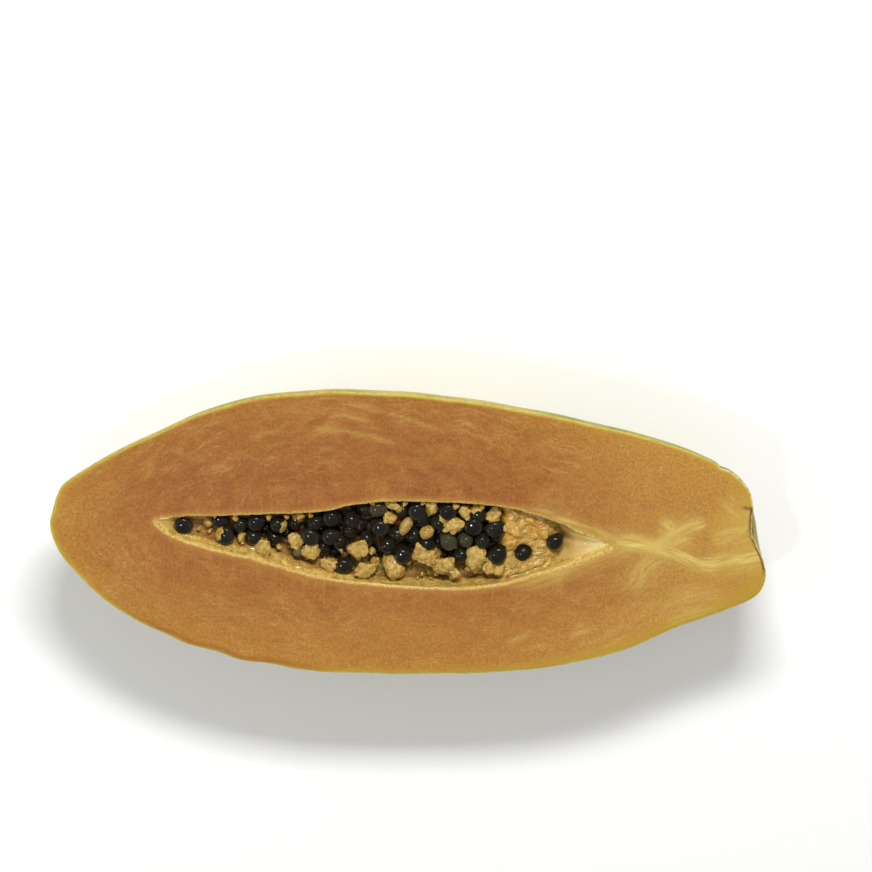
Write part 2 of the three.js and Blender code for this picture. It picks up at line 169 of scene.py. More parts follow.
# Fibres that run from the cavity's end to the stem: half width, strength, how far they fade in
# and out at their ends, and places on the cut face
FIBRES = [
    (2.6, 1, 0, 0, [(189, -4.9), (196, -4.6), (201, -4.2), (206, -4.6), (211, -5)]),
    (1.7, 0.85, 0, 5, [(208, -4.6), (213, -2.6), (216.4, 0.4), (214.4, 3.2), (210, 5.8)]),
    (2, 0.85, 0, 6, [(215, -0.4), (219.5, 1.8), (224, 3.4), (229.5, 5.6)]),
    (2.4, 0.7, 0, 6, [(211, -5), (216, -3.2), (220.3, -1.8), (225, -0.2)]),
    (2.4, 0.95, 0, 0, [(208, -4.7), (217.4, -7), (222.4, -8.9), (226.3, -10.4), (231.3, -10.7),
                       (237.4, -9.4), (243.6, -7.3), (247, -6.4)]),
    (4.2, 0.42, 3, 14, [(216, -6.6), (210, -8.8), (206.4, -12.4), (204.6, -16.4), (202, -21), (198, -26)]),
    (2.8, 0.3, 8, 8, [(209, -27.4), (219.3, -23.6), (226.7, -21.3), (238, -18.8)]),
    (2.4, 0.28, 8, 8, [(212, -32.4), (225.8, -28.2), (235, -25.2)]),
    (3.6, 0.45, 6, 0, [(228, -2.4), (238.8, 1.2), (243.1, 3.1)]),
    (2.8, 0.4, 6, 0, [(232, 14.8), (238, 9.6), (241.6, 6)]),
    (2.5, 1, 16, 0, [(157, -21.4), (169.1, -17.6), (181.4, -12.8), (191.2, -8.3), (198, -5.4)]),
    (3.6, 0.6, 4, 4, [(209, -3), (214, -1.6), (218, -0.4), (222, 0.2)]),
    (2.1, 0.95, 16, 0, [(160, 6.4), (171, 4), (180, 1.4), (188, -1.6), (196, -4.4)]),
]
# Long pale veins that the knife cut lengthwise, each fading out at both ends
VEIN_HALF, VEIN_STRENGTH, VEIN_FADE = 0.5, 0.28, 5
VEINS = [
    [(66.3, 26.8), (73.2, 29.5), (79.3, 30.7), (90.1, 31.5), (101, 31.7), (108.8, 30.3), (115.1, 28.6),
     (119.8, 26.8)],
    [(95.9, 41.3), (102.1, 41.3), (109.9, 39.9), (117, 38.2), (124, 36.2), (130.3, 34.1), (136.2, 32.4)],
    [(78.9, 39.7), (85.2, 37.6), (91.4, 37.1), (100, 37.1), (110.9, 35.2)],
    [(39.3, 22.8), (43.3, 21.8), (47.2, 21)],
    [(87.4, 23), (92.8, 24.4), (98.9, 25.1)],
    [(63.4, 22.3), (68.1, 20.9), (72.1, 19.1)],
    [(51.3, 15), (55.9, 16.8), (62, 17.5)],
    [(164, -45.8), (167.9, -43.6), (171.9, -42.5), (176.5, -42.3)],
    [(180.4, -38.6), (184.9, -37.2), (189.4, -35.5), (194, -34.7)],
    [(184.6, -42.5), (189.7, -41.1), (194.2, -38.5), (198.6, -34.8), (203.1, -31.9)],
    [(186.4, -44.3), (192.1, -42.9), (197.7, -40.3), (203.3, -36.3)],
    [(206.5, -29.7), (208.7, -26.6), (212, -23.5), (217.1, -21.5)],
    [(157.5, -42), (162, -41.2), (164.9, -39.8), (170.5, -36)],
]


def linear(hex_colour):
    """An sRGB hex colour as linear numbers with alpha."""
    parts = [int(hex_colour[i : i + 2], 16) / 255 for i in (1, 3, 5)]
    return (*(p / 12.92 if p <= 0.04045 else ((p + 0.055) / 1.055) ** 2.4 for p in parts), 1)


def draws(start):
    """A repeatable run of numbers from 0 to 1, the same as the solids' own."""
    state = start
    while True:
        state = (state * 1664525 + 1013904223) % 4294967296
        yield state / 4294967296


def smooth(value, low, high):
    share = np.clip((value - low) / (high - low), 0, 1)
    return share * share * (3 - 2 * share)


def stretch(value, start, full, fade, end):
    """1 between two levels, and 0 past a start and an end."""
    return smooth(value, start, full) * (1 - smooth(value, fade, end))


def edge_curve(table):
    """The two sides of a table's edge at each row, on one smooth closed curve."""
    lower = [(row[2], row[3]) for row in table[-2:0:-1]]
    points = np.array([(row[0], row[1]) for row in table] + lower, float)
    count = len(points)

    def at(share):
        place = (share % 1) * count
        first = np.floor(place).astype(int)
        w = (place - first)[:, None]
        a, b, c, d = (points[(first + k) % count] for k in (-1, 0, 1, 2))
        t0, t1 = (c - a) / 2, (d - b) / 2
        return b + t0 * w + (3 * (c - b) - 2 * t0 - t1) * w**2 + (2 * (b - c) + t0 + t1) * w**3

    return lambda rows: (at(rows / count), at(1 - rows / count))


def even_rows(table, count):
    """Rows that step evenly along a table's edge."""
    fine = np.linspace(0, len(table) - 1, 4000)
    upper, lower = edge_curve(table)(fine)
    steps = np.hypot(*np.diff(upper, axis=0).T) + np.hypot(*np.diff(lower, axis=0).T)
    run = np.append(0, np.cumsum(steps))
    return np.interp(np.linspace(0, run[-1], count + 1), run, fine)


def cavity_sides(along):
    """The heights of the cavity's upper and lower edge at distances along the fruit."""
    rows = np.array(CAVITY)
    return np.interp(along, rows[:, 0], rows[:, 1]), np.interp(along, rows[:, 2], rows[:, 3])


def wall_depth(along, height):
    """The depth of the cavity wall under places on the cut face."""
    upper, lower = cavity_sides(along)
    half = np.maximum((upper - lower) / 2, 0.01)
    off = (height - (upper + lower) / 2) / half
    return half * CAVITY_DEPTH * np.sqrt(np.maximum(0, 1 - off * off))


def to_frame(places):
    """Fruit millimetres, with heights below the cut plane negative, to the row frame."""
    return (places + np.array([-REST_ALONG, -REST_ABOVE, CUT_HEIGHT])) * MM


def waves(places, size, seed, octaves=0):
    """Smooth noise from -1 to 1 with features of a size in millimetres."""
    scaled = np.asarray(places, float) / size + seed * 17.3
    if octaves:
        return np.array([noise.fractal(Vector(p), 0.7, 2.1, octaves) for p in scaled])
    return np.array([noise.noise(Vector(p)) for p in scaled])


def gap_to_line(places, line):
    """Each place's distance to a line through points, which side it is on, and how far along."""
    gap, side, run = (np.full(len(places), value, float) for value in (1e9, 0, 0))
    points = np.array(line, float)
    start = 0
    for point, span in zip(points, np.diff(points, axis=0)):
        off = places - point
        share = np.clip(off @ span / (span @ span), 0, 1)
        away = np.hypot(*(off - share[:, None] * span).T)
        nearer = away < gap
        gap[nearer] = away[nearer]
        cross = span[0] * off[:, 1] - span[1] * off[:, 0]
        side[nearer] = np.sign(cross[nearer])
        run[nearer] = start + share[nearer] * np.hypot(*span)
        start += np.hypot(*span)
    return gap, side, run


def coordinates(mesh):
    flat = np.empty(len(mesh.vertices) * 3, np.float32)
    mesh.vertices.foreach_get("co", flat)
    return flat.reshape(-1, 3).astype(float)


def reshape(mesh, places):
    mesh.vertices.foreach_set("co", places.astype(np.float32).ravel())
    mesh.update()


def set_places(obj, places):
    """Moves a piece's vertices to places in fruit millimetres, kept inside the solids' box."""
    reshape(obj.data, np.clip(to_frame(places), np.array(cad_box[0]), np.array(cad_box[1])))


def sheet(name, columns, rings, place, material_used):
    """A grid primitive shaped by place(column number, ring number), in fruit millimetres."""
    bpy.ops.mesh.primitive_grid_add(x_subdivisions=columns, y_subdivisions=rings, size=1)
    made = bpy.context.object
    made.name = made.data.name = name
    unit = coordinates(made.data) + 0.5
    i, j = np.rint(unit[:, 0] * columns).astype(int), np.rint(unit[:, 1] * rings).astype(int)
    set_places(made, place(i, j))
    made.data.materials.append(material_used)
    return made


def fruit_places(obj):
    """A piece's vertices in fruit millimetres."""
    return coordinates(obj.data) / MM - np.array([-REST_ALONG, -REST_ABOVE, CUT_HEIGHT])


def paint(obj, **values):
    """Stores one number a vertex under each name, for a material to read."""
    count = len(obj.data.vertices)
    for name, numbers in values.items():
        layer = obj.data.attributes.new(name, "FLOAT", "POINT")
        layer.data.foreach_set("value", np.broadcast_to(np.asarray(numbers, np.float32), count))


def join(name, parts):
    bpy.ops.object.select_all(action="DESELECT")
    for part in parts:
        part.select_set(True)
    bpy.context.view_layer.objects.active = parts[0]
    if len(parts) > 1:
        bpy.ops.object.join()
    made = bpy.context.object
    made.name = made.data.name = name
    return made


def finish(obj, angle, slot, *replaced):
    """Welds the seams, turns the faces out, shades and rides on the fruit's body."""
    bpy.ops.object.select_all(action="DESELECT")
    obj.select_set(True)
    bpy.context.view_layer.objects.active = obj
    bpy.ops.object.mode_set(mode="EDIT")
    bpy.ops.mesh.select_all(action="SELECT")
    bpy.ops.mesh.remove_doubles(threshold=2e-6)
    bpy.ops.mesh.normals_make_consistent(inside=False)
    bpy.ops.object.mode_set(mode="OBJECT")
    bpy.ops.object.shade_smooth()
    if angle < 180:
        bpy.ops.object.shade_smooth_by_angle(angle=math.radians(angle))
    bpy.ops.object.select_all(action="DESELECT")
    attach(obj, "root")
    if replaced:
        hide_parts(*replaced)
    return obj


# Materials

PER_MM = (1 / MM, 1 / MM, 1 / MM)
MIX = {"data_type": "RGBA"}
OVERLAY = {"data_type": "RGBA", "blend_type": "OVERLAY"}
TIMES, PLUS, LESS, OVER = ({"operation": name} for name in ("MULTIPLY", "ADD", "SUBTRACT", "DIVIDE"))
SOFT = {"interpolation_type": "SMOOTHSTEP"}


def add(tree, kind, settings, links):
    """Adds a node, sets its properties, and gives each input its source or its own value."""
    made = tree.nodes.new("ShaderNode" + kind)
    for key, value in settings.items():
        if key == "ramp":
            while len(made.color_ramp.elements) < len(value):
                made.color_ramp.elements.new(1)
            for stop, (place, colour) in zip(made.color_ramp.elements, value):
                stop.position, stop.color = place, linear(colour)
        else:
            setattr(made, key, value)
    for key, source in links.items():
        if isinstance(source, bpy.types.Node):
            source = next(output for output in source.outputs if output.enabled)
        if isinstance(source, bpy.types.NodeSocket):
            tree.links.new(source, made.inputs[key])
        else:
            made.inputs[key].default_value = linear(source) if isinstance(source, str) else source
    return made


def material(name):
    """A material, its nodes, and places on the piece in metres and in millimetres."""
    made = bpy.data.materials.new(name)
    made.use_nodes = True
    tree = made.node_tree
    tree.nodes.clear()
    where = add(tree, "TexCoord", {}, {}).outputs["Object"]
    mm = add(tree, "Mapping", {}, {"Vector": where, "Scale": PER_MM})
    return made, tree, where, mm


# Cut papaya flesh: soft ripe fruit sliced by a knife. Moist and matt, salmon orange near the
# seeds and yellower towards the peel, with pale wisps of veins, a fine grain and painted sparkle highlights.
def cut_flesh():
    made, tree, where, mm = material("papaya_flesh_knife_cut")
    names = ("skin_gap", "cavity_gap", "yellow", "peel", "rust", "fibre", "fibre_side", "fibre_run",
             "stem", "crack", "lip", "papery", "alone")
    read = {name: add(tree, "Attribute", {"attribute_name": name}, {}).outputs["Fac"] for name in names}
    skin_gap, cavity_gap = read["skin_gap"], read["cavity_gap"]
    cross = add(tree, "SeparateXYZ", {}, {0: mm})
    x, y = cross.outputs[0], cross.outputs[1]

    both = add(tree, "Math", PLUS, {0: skin_gap, 1: cavity_gap})
    deep = add(tree, "Math", OVER, {0: skin_gap, 1: both})
    tones = [(0.0, "#a37322"), (0.16, "#9e6824"), (0.5, "#975f23"), (0.95, "#8e511c")]
    colour = add(tree, "ValToRGB", {"ramp": tones}, {0: deep})
    wide_noise = add(tree, "TexNoise", {}, {
        "Vector": mm, "Scale": 1 / 24, "Detail": 3.0, "Roughness": 0.55, "Distortion": 0.4})
    patches = add(tree, "MapRange", SOFT, {0: wide_noise, 1: 0.38, 2: 0.66, 4: 0.4})
    colour = add(tree, "Mix", MIX, {0: patches, 6: colour, 7: "#a56d2b"})
    # Darker and redder above the cavity, fading out towards the stem end; lighter and yellower to the right,
    # below and at the blossom tip
    upper = add(tree, "MapRange", SOFT, {0: y, 1: -2, 2: 22, 4: 0.5})
    redder = add(tree, "Math", TIMES, {0: upper, 1: add(tree, "MapRange", SOFT, {0: x, 1: 80, 2: 10})})
    colour = add(tree, "Mix", MIX, {0: redder, 6: colour, 7: "#884b16"})
    right = add(tree, "MapRange", SOFT, {0: x, 1: 25, 2: 112, 4: 0.62})
    colour = add(tree, "Mix", MIX, {0: right, 6: colour, 7: "#b58a3b"})
    low = add(tree, "MapRange", SOFT, {0: y, 1: -8, 2: -50, 4: 0.5})
    colour = add(tree, "Mix", MIX, {0: low, 6: colour, 7: "#ab7729"})
    amount = add(tree, "Math", TIMES, {0: low, 1: right})
    colour = add(tree, "Mix", MIX, {0: amount, 6: colour, 7: "#cfa860"})
    tip = add(tree, "MapRange", SOFT, {0: x, 1: -85, 2: -122, 4: 0.5})
    colour = add(tree, "Mix", MIX, {0: tip, 6: colour, 7: "#a67321"})

    # The flesh's fibres run along the outline: long soft streaks, bent a little by a wide noise
    bend = add(tree, "TexNoise", {}, {"Vector": mm, "Scale": 1 / 20, "Detail": 2.0})
    bend = add(tree, "MapRange", {}, {0: bend, 3: -7.0, 4: 7.0})
    layer = add(tree, "Math", PLUS, {0: skin_gap, 1: bend})
    along = add(tree, "Math", TIMES, {0: x, 1: 0.2})
    across = add(tree, "Math", TIMES, {0: y, 1: 0.16})
    flow = add(tree, "CombineXYZ", {}, {0: along, 1: layer, 2: across})
    run = add(tree, "Math", TIMES, {0: x, 1: 0.5})
    rise = add(tree, "Math", TIMES, {0: y, 1: 0.35})
    slow = add(tree, "CombineXYZ", {}, {0: run, 1: layer, 2: rise})
    cloud = add(tree, "TexNoise", {}, {
        "Vector": slow, "Scale": 1 / 4.2, "Detail": 4.0, "Roughness": 0.62, "Distortion": 0.2})
    clouds = add(tree, "MapRange", SOFT, {0: cloud, 1: 0.38, 2: 0.74, 4: 0.36})
    colour = add(tree, "Mix", MIX, {0: clouds, 6: colour, 7: "#b07d35"})
    red = add(tree, "TexNoise", {}, {
        "Vector": slow, "Scale": 1 / 7, "Detail": 3.0, "Roughness": 0.6, "Distortion": 0.5})
    reds = add(tree, "MapRange", SOFT, {0: red, 1: 0.46, 2: 0.78, 4: 0.3})
    inside = add(tree, "MapRange", SOFT, {0: skin_gap, 1: 3, 2: 12})
    amount = add(tree, "Math", TIMES, {0: reds, 1: inside})
    colour = add(tree, "Mix", MIX, {0: amount, 6: colour, 7: "#7f4317"})

    # Wisps: veins cut lengthwise, 1 mm and 0.5 mm wide, gathered in the outer flesh
    gather = add(tree, "TexNoise", {}, {"Vector": mm, "Scale": 1 / 15, "Detail": 2.0, "Roughness": 0.6})
    gathered = add(tree, "MapRange", SOFT, {0: gather, 1: 0.38, 2: 0.62, 3: 0.25})
    outer = add(tree, "MapRange", SOFT, {0: deep, 1: 0.95, 2: 0.4, 3: 0.35})
    kept = add(tree, "Math", TIMES, {0: gathered, 1: outer})
    wisp = add(tree, "TexNoise", {}, {
        "Vector": flow, "Scale": 1 / 1.5, "Detail": 3.0, "Roughness": 0.6, "Distortion": 0.25})
    wisps = add(tree, "MapRange", SOFT, {0: wisp, 1: 0.5, 2: 0.76, 4: 0.34})
    amount = add(tree, "Math", TIMES, {0: wisps, 1: kept})
    colour = add(tree, "Mix", MIX, {0: amount, 6: colour, 7: "#c69c54"})
    thin = add(tree, "TexNoise", {}, {
        "Vector": flow, "Scale": 1 / 0.7, "Detail": 2.0, "Roughness": 0.5, "Distortion": 0.3})
    thins = add(tree, "MapRange", SOFT, {0: thin, 1: 0.52, 2: 0.76, 4: 0.2})
    amount = add(tree, "Math", TIMES, {0: thins, 1: kept})
    colour = add(tree, "Mix", MIX, {0: amount, 6: colour, 7: "#cba45e"})
    path = add(tree, "TexNoise", {}, {
        "Vector": slow, "Scale": 1 / 11, "Detail": 1.0, "Distortion": 0.4})
    off = add(tree, "Math", {"operation": "ABSOLUTE"}, {0: add(tree, "Math", LESS, {0: path, 1: 0.5})})
    vein = add(tree, "MapRange", SOFT, {0: off, 1: 0.0, 2: 0.035, 3: 0.16, 4: 0.0})
    amount = add(tree, "Math", TIMES, {0: vein, 1: gathered})
    colour = add(tree, "Mix", MIX, {0: amount, 6: colour, 7: "#bc904c"})

    # Short soft strokes stand across the cavity's edge
    stretched = add(tree, "Mapping", {}, {
        "Vector": where, "Scale": (1 / MM, 0.16 / MM, 1 / MM), "Rotation": (0, 0, 0.25)})
    stroke = add(tree, "TexNoise", {}, {
        "Vector": stretched, "Scale": 1 / 1.6, "Detail": 2.0, "Distortion": 0.4})
    strokes = add(tree, "MapRange", SOFT, {0: stroke, 1: 0.46, 2: 0.78, 4: 0.3})
    near_seeds = add(tree, "MapRange", SOFT, {0: cavity_gap, 1: 13, 2: 3})
    amount = add(tree, "Math", TIMES, {0: strokes, 1: near_seeds})
    colour = add(tree, "Mix", MIX, {0: amount, 6: colour, 7: "#b0823c"})

    # Juice cells, 0.8 mm across, and painted highlights on a few of them that stand for glints of juice
    cells = add(tree, "TexNoise", {}, {
        "Vector": mm, "Scale": 1 / 0.8, "Detail": 3.0, "Roughness": 0.75})
    greys = add(tree, "MapRange", {}, {0: cells, 1: 0.3, 2: 0.7, 3: 0.22, 4: 0.78})
    colour = add(tree, "Mix", OVERLAY, {0: 0.5, 6: colour, 7: greys})
    dots = add(tree, "TexVoronoi", {}, {"Vector": mm, "Scale": 1 / 1.2})
    tone = add(tree, "SeparateColor", {}, {0: dots.outputs["Color"]})
    few = add(tree, "MapRange", SOFT, {0: tone, 1: 0.74, 2: 0.8})
    painted_glint = add(tree, "MapRange", SOFT, {
        0: dots.outputs["Distance"], 1: 0.06, 2: 0.24, 3: 0.26, 4: 0.0})
    amount = add(tree, "Math", TIMES, {0: painted_glint, 1: few})
    colour = add(tree, "Mix", MIX, {0: amount, 6: colour, 7: "#dcb872"})

    # Yellow towards the peel, as wide as the fruit has it there, then the peel's own thin line
    streak = add(tree, "TexNoise", {}, {
        "Vector": slow, "Scale": 1 / 2.4, "Detail": 3.0, "Roughness": 0.6})
    streaks = add(tree, "MapRange", {}, {0: streak, 3: -1.1, 4: 1.1})
    near = add(tree, "Math", PLUS, {0: skin_gap, 1: streaks})
    near = add(tree, "Math", OVER, {0: near, 1: read["yellow"]})
    yellows = add(tree, "MapRange", SOFT, {0: near, 1: 0.05, 2: 1.0, 3: 0.85, 4: 0.0})
    colour = add(tree, "Mix", MIX, {0: yellows, 6: colour, 7: "#ae8b29"})
    uneven = add(tree, "TexNoise", {}, {"Vector": mm, "Scale": 1 / 7, "Detail": 2.0})
    uneven = add(tree, "MapRange", {}, {0: uneven, 3: -0.45, 4: 0.45})
    edge = add(tree, "Math", PLUS, {0: skin_gap, 1: uneven})
    inner_peel = add(tree, "MapRange", SOFT, {0: edge, 1: 0.55, 2: 1.25, 3: 1.0, 4: 0.0})
    amount = add(tree, "Math", TIMES, {0: inner_peel, 1: read["peel"]})
    colour = add(tree, "Mix", MIX, {0: amount, 6: colour, 7: "#af9224"})
    outer_peel = add(tree, "MapRange", SOFT, {0: edge, 1: 0.25, 2: 0.6, 3: 1.0, 4: 0.0})
    amount = add(tree, "Math", TIMES, {0: outer_peel, 1: read["peel"]})
    colour = add(tree, "Mix", MIX, {0: amount, 6: colour, 7: "#b7af50"})
    rise = add(tree, "MapRange", SOFT, {0: edge, 1: 0.4, 2: 1.0, 4: 0.6})
    fall = add(tree, "MapRange", SOFT, {0: edge, 1: 3.0, 2: 1.2})
    band = add(tree, "Math", TIMES, {0: add(tree, "Math", TIMES, {0: rise, 1: fall}), 1: read["rust"]})
    colour = add(tree, "Mix", MIX, {0: band, 6: colour, 7: "#92551a"})

    # Pale fibres to the stem, drawn out in fine threads along each one
    run = add(tree, "Math", TIMES, {0: read["fibre_run"], 1: 0.09})
    rise = add(tree, "Math", TIMES, {0: y, 1: 0.04})
    ways = add(tree, "CombineXYZ", {}, {0: run, 1: read["fibre_side"], 2: rise})
    threads = add(tree, "TexNoise", {}, {
        "Vector": ways, "Scale": 1 / 0.9, "Detail": 3.0, "Roughness": 0.6, "Distortion": 0.1})
    thread_tone = add(tree, "MapRange", SOFT, {0: threads, 1: 0.34, 2: 0.68})
    thread_tone = add(tree, "Mix", {"data_type": "FLOAT"}, {0: read["alone"], 2: 0.5, 3: thread_tone})
    pale = add(tree, "Mix", MIX, {0: thread_tone, 6: "#b8993f", 7: "#d5bf70"})
    mottle = add(tree, "TexNoise", {}, {
        "Vector": mm, "Scale": 1 / 7, "Detail": 3.0, "Roughness": 0.6, "Distortion": 0.8})
    mottled = add(tree, "MapRange", SOFT, {0: mottle, 1: 0.34, 2: 0.62, 4: 0.7})
    amount = add(tree, "Math", TIMES, {0: read["stem"], 1: mottled})
    colour = add(tree, "Mix", MIX, {0: amount, 6: colour, 7: "#b69338"})
    thick = add(tree, "MapRange", SOFT, {0: threads, 1: 0.3, 2: 0.6, 3: 0.8, 4: 1.0})
    amount = add(tree, "Math", TIMES, {0: read["fibre"], 1: thick})
    colour = add(tree, "Mix", MIX, {0: amount, 6: colour, 7: pale})

    # The lining's cream line round the cavity
    lining = add(tree, "Math", PLUS, {0: cavity_gap, 1: uneven})
    lining = add(tree, "Math", OVER, {0: lining, 1: read["lip"]})
    half_tone = add(tree, "MapRange", SOFT, {0: cells, 1: 0.4, 2: 0.6})
    cream = add(tree, "Mix", MIX, {0: half_tone, 6: "#b08a38", 7: "#cdb060"})
    golden = add(tree, "MapRange", SOFT, {0: lining, 1: 0.9, 2: 3.0, 3: 0.6, 4: 0.0})
    colour = add(tree, "Mix", MIX, {0: golden, 6: colour, 7: "#a9772f"})
    creams = add(tree, "MapRange", SOFT, {0: lining, 1: 0.4, 2: 1.2, 3: 0.9, 4: 0.0})
    colour = add(tree, "Mix", MIX, {0: creams, 6: colour, 7: cream})
    brown = add(tree, "Mix", MIX, {0: half_tone, 6: "#33200f", 7: "#6f4e2b"})
    colour = add(tree, "Mix", MIX, {0: read["papery"], 6: colour, 7: "#d9cfa2"})
    colour = add(tree, "Mix", MIX, {0: read["crack"], 6: colour, 7: brown})

    damp = add(tree, "TexNoise", {}, {"Vector": mm, "Scale": 1 / 2.6, "Detail": 3.0, "Roughness": 0.6})
    rough = add(tree, "MapRange", {}, {0: damp, 1: 0.3, 2: 0.7, 3: 0.4, 4: 0.58})
    height = add(tree, "Mix", MIX, {0: 0.35, 6: cells, 7: wisps})
    bump = add(tree, "Bump", {}, {"Strength": 0.35, "Distance": 0.14 * MM, "Height": height})
    shader = add(tree, "BsdfPrincipled", {}, {
        "Base Color": colour, "Roughness": rough, "Normal": bump, "IOR": 1.37, "Subsurface Weight": 0.25,
        "Subsurface Radius": (1.0, 0.45, 0.2), "Subsurface Scale": 1.4 * MM,
        "Coat Weight": 0.08, "Coat Roughness": 0.25, "Coat IOR": 1.34})
    add(tree, "OutputMaterial", {}, {"Surface": shader})
    return made


# Seed cavity lining: the thin membrane that grew round the seeds. Golden to cream and wet, with
# fine fibres along the fruit, grains near its edge with painted glints, and painted shade deeper down.
def cavity_lining():
    made, tree, where, mm = material("papaya_cavity_lining_membrane")
    cross = add(tree, "SeparateXYZ", {}, {0: mm})
    under = add(tree, "Math", LESS, {0: float(CUT_HEIGHT), 1: cross.outputs[2]})
    band = add(tree, "Attribute", {"attribute_name": "band"}, {}).outputs["Fac"]
    drawn = add(tree, "Mapping", {}, {
        "Vector": where, "Scale": (0.2 / MM, 1 / MM, 1 / MM), "Rotation": (0, 0, 0.12)})
    threads = add(tree, "TexNoise", {}, {
        "Vector": drawn, "Scale": 1 / 1.3, "Detail": 4.0, "Roughness": 0.6, "Distortion": 0.4})
    thread_tone = add(tree, "MapRange", SOFT, {0: threads, 1: 0.3, 2: 0.7})
    colour = add(tree, "Mix", MIX, {0: thread_tone, 6: "#8a5c2b", 7: "#a87c3c"})
    # Painted shade: the wall turns dark brown from 6 mm to 15 mm below the cut face
    painted_depth_shade = add(tree, "MapRange", SOFT, {0: under, 1: 6, 2: 15, 4: 0.8})
    colour = add(tree, "Mix", MIX, {0: painted_depth_shade, 6: colour, 7: "#6d431c"})
    pocket = add(tree, "MapRange", SOFT, {0: cross.outputs[0], 1: 42, 2: 52, 4: 0.9})
    colour = add(tree, "Mix", MIX, {0: pocket, 6: colour, 7: "#c6a560"})
    white_end = add(tree, "MapRange", SOFT, {0: cross.outputs[0], 1: 58, 2: 66, 4: 0.8})
    colour = add(tree, "Mix", MIX, {0: white_end, 6: colour, 7: "#dccb8c"})
    blossom_end = add(tree, "MapRange", SOFT, {0: cross.outputs[0], 1: -78, 2: -86, 4: 0.8})
    colour = add(tree, "Mix", MIX, {0: blossom_end, 6: colour, 7: "#c29f50"})
    stain = add(tree, "TexNoise", {}, {
        "Vector": mm, "Scale": 1 / 6, "Detail": 3.0, "Roughness": 0.6, "Distortion": 0.6})
    stains = add(tree, "MapRange", SOFT, {0: stain, 1: 0.54, 2: 0.72, 4: 0.3})
    colour = add(tree, "Mix", MIX, {0: stains, 6: colour, 7: "#8a5a25"})
    grains = add(tree, "TexVoronoi", {}, {"Vector": mm, "Scale": 1 / 0.9})
    granule = add(tree, "MapRange", SOFT, {
        0: grains.outputs["Distance"], 1: 0.05, 2: 0.55, 3: 1.0, 4: 0.0})
    clump = add(tree, "TexNoise", {}, {"Vector": mm, "Scale": 1 / 2.2, "Detail": 3.0, "Roughness": 0.7})
    clumps = add(tree, "MapRange", SOFT, {0: clump, 1: 0.34, 2: 0.62})
    cream = add(tree, "Mix", MIX, {0: clumps, 6: "#ab8233", 7: "#cba952"})
    colour = add(tree, "Mix", MIX, {0: band, 6: colour, 7: cream})
    # Painted highlights: the brightest grains in the cream band take a pale glint colour
    grain_glint_share = add(tree, "Math", TIMES, {0: add(tree, "Math", TIMES, {0: granule, 1: clumps}), 1: 0.6})
    in_band = add(tree, "MapRange", SOFT, {0: band, 1: 0.0, 2: 0.6, 3: 0.12})
    painted_grain_glints = add(tree, "Math", TIMES, {0: grain_glint_share, 1: in_band})
    colour = add(tree, "Mix", MIX, {0: painted_grain_glints, 6: colour, 7: "#f0dea0"})
    grainy = add(tree, "MapRange", SOFT, {0: band, 3: 0.08, 4: 0.8})
    height = add(tree, "Mix", MIX, {0: grainy, 6: threads, 7: granule})
    bump = add(tree, "Bump", {}, {"Strength": 0.6, "Distance": 0.4 * MM, "Height": height})
    shader = add(tree, "BsdfPrincipled", {}, {
        "Base Color": colour, "Normal": bump, "IOR": 1.37, "Roughness": 0.34, "Subsurface Weight": 0.35,
        "Subsurface Radius": (1.0, 0.6, 0.25), "Subsurface Scale": 1.5 * MM,
        "Coat Weight": 0.5, "Coat Roughness": 0.08, "Coat IOR": 1.34})
    add(tree, "OutputMaterial", {}, {"Surface": shader})
    return made


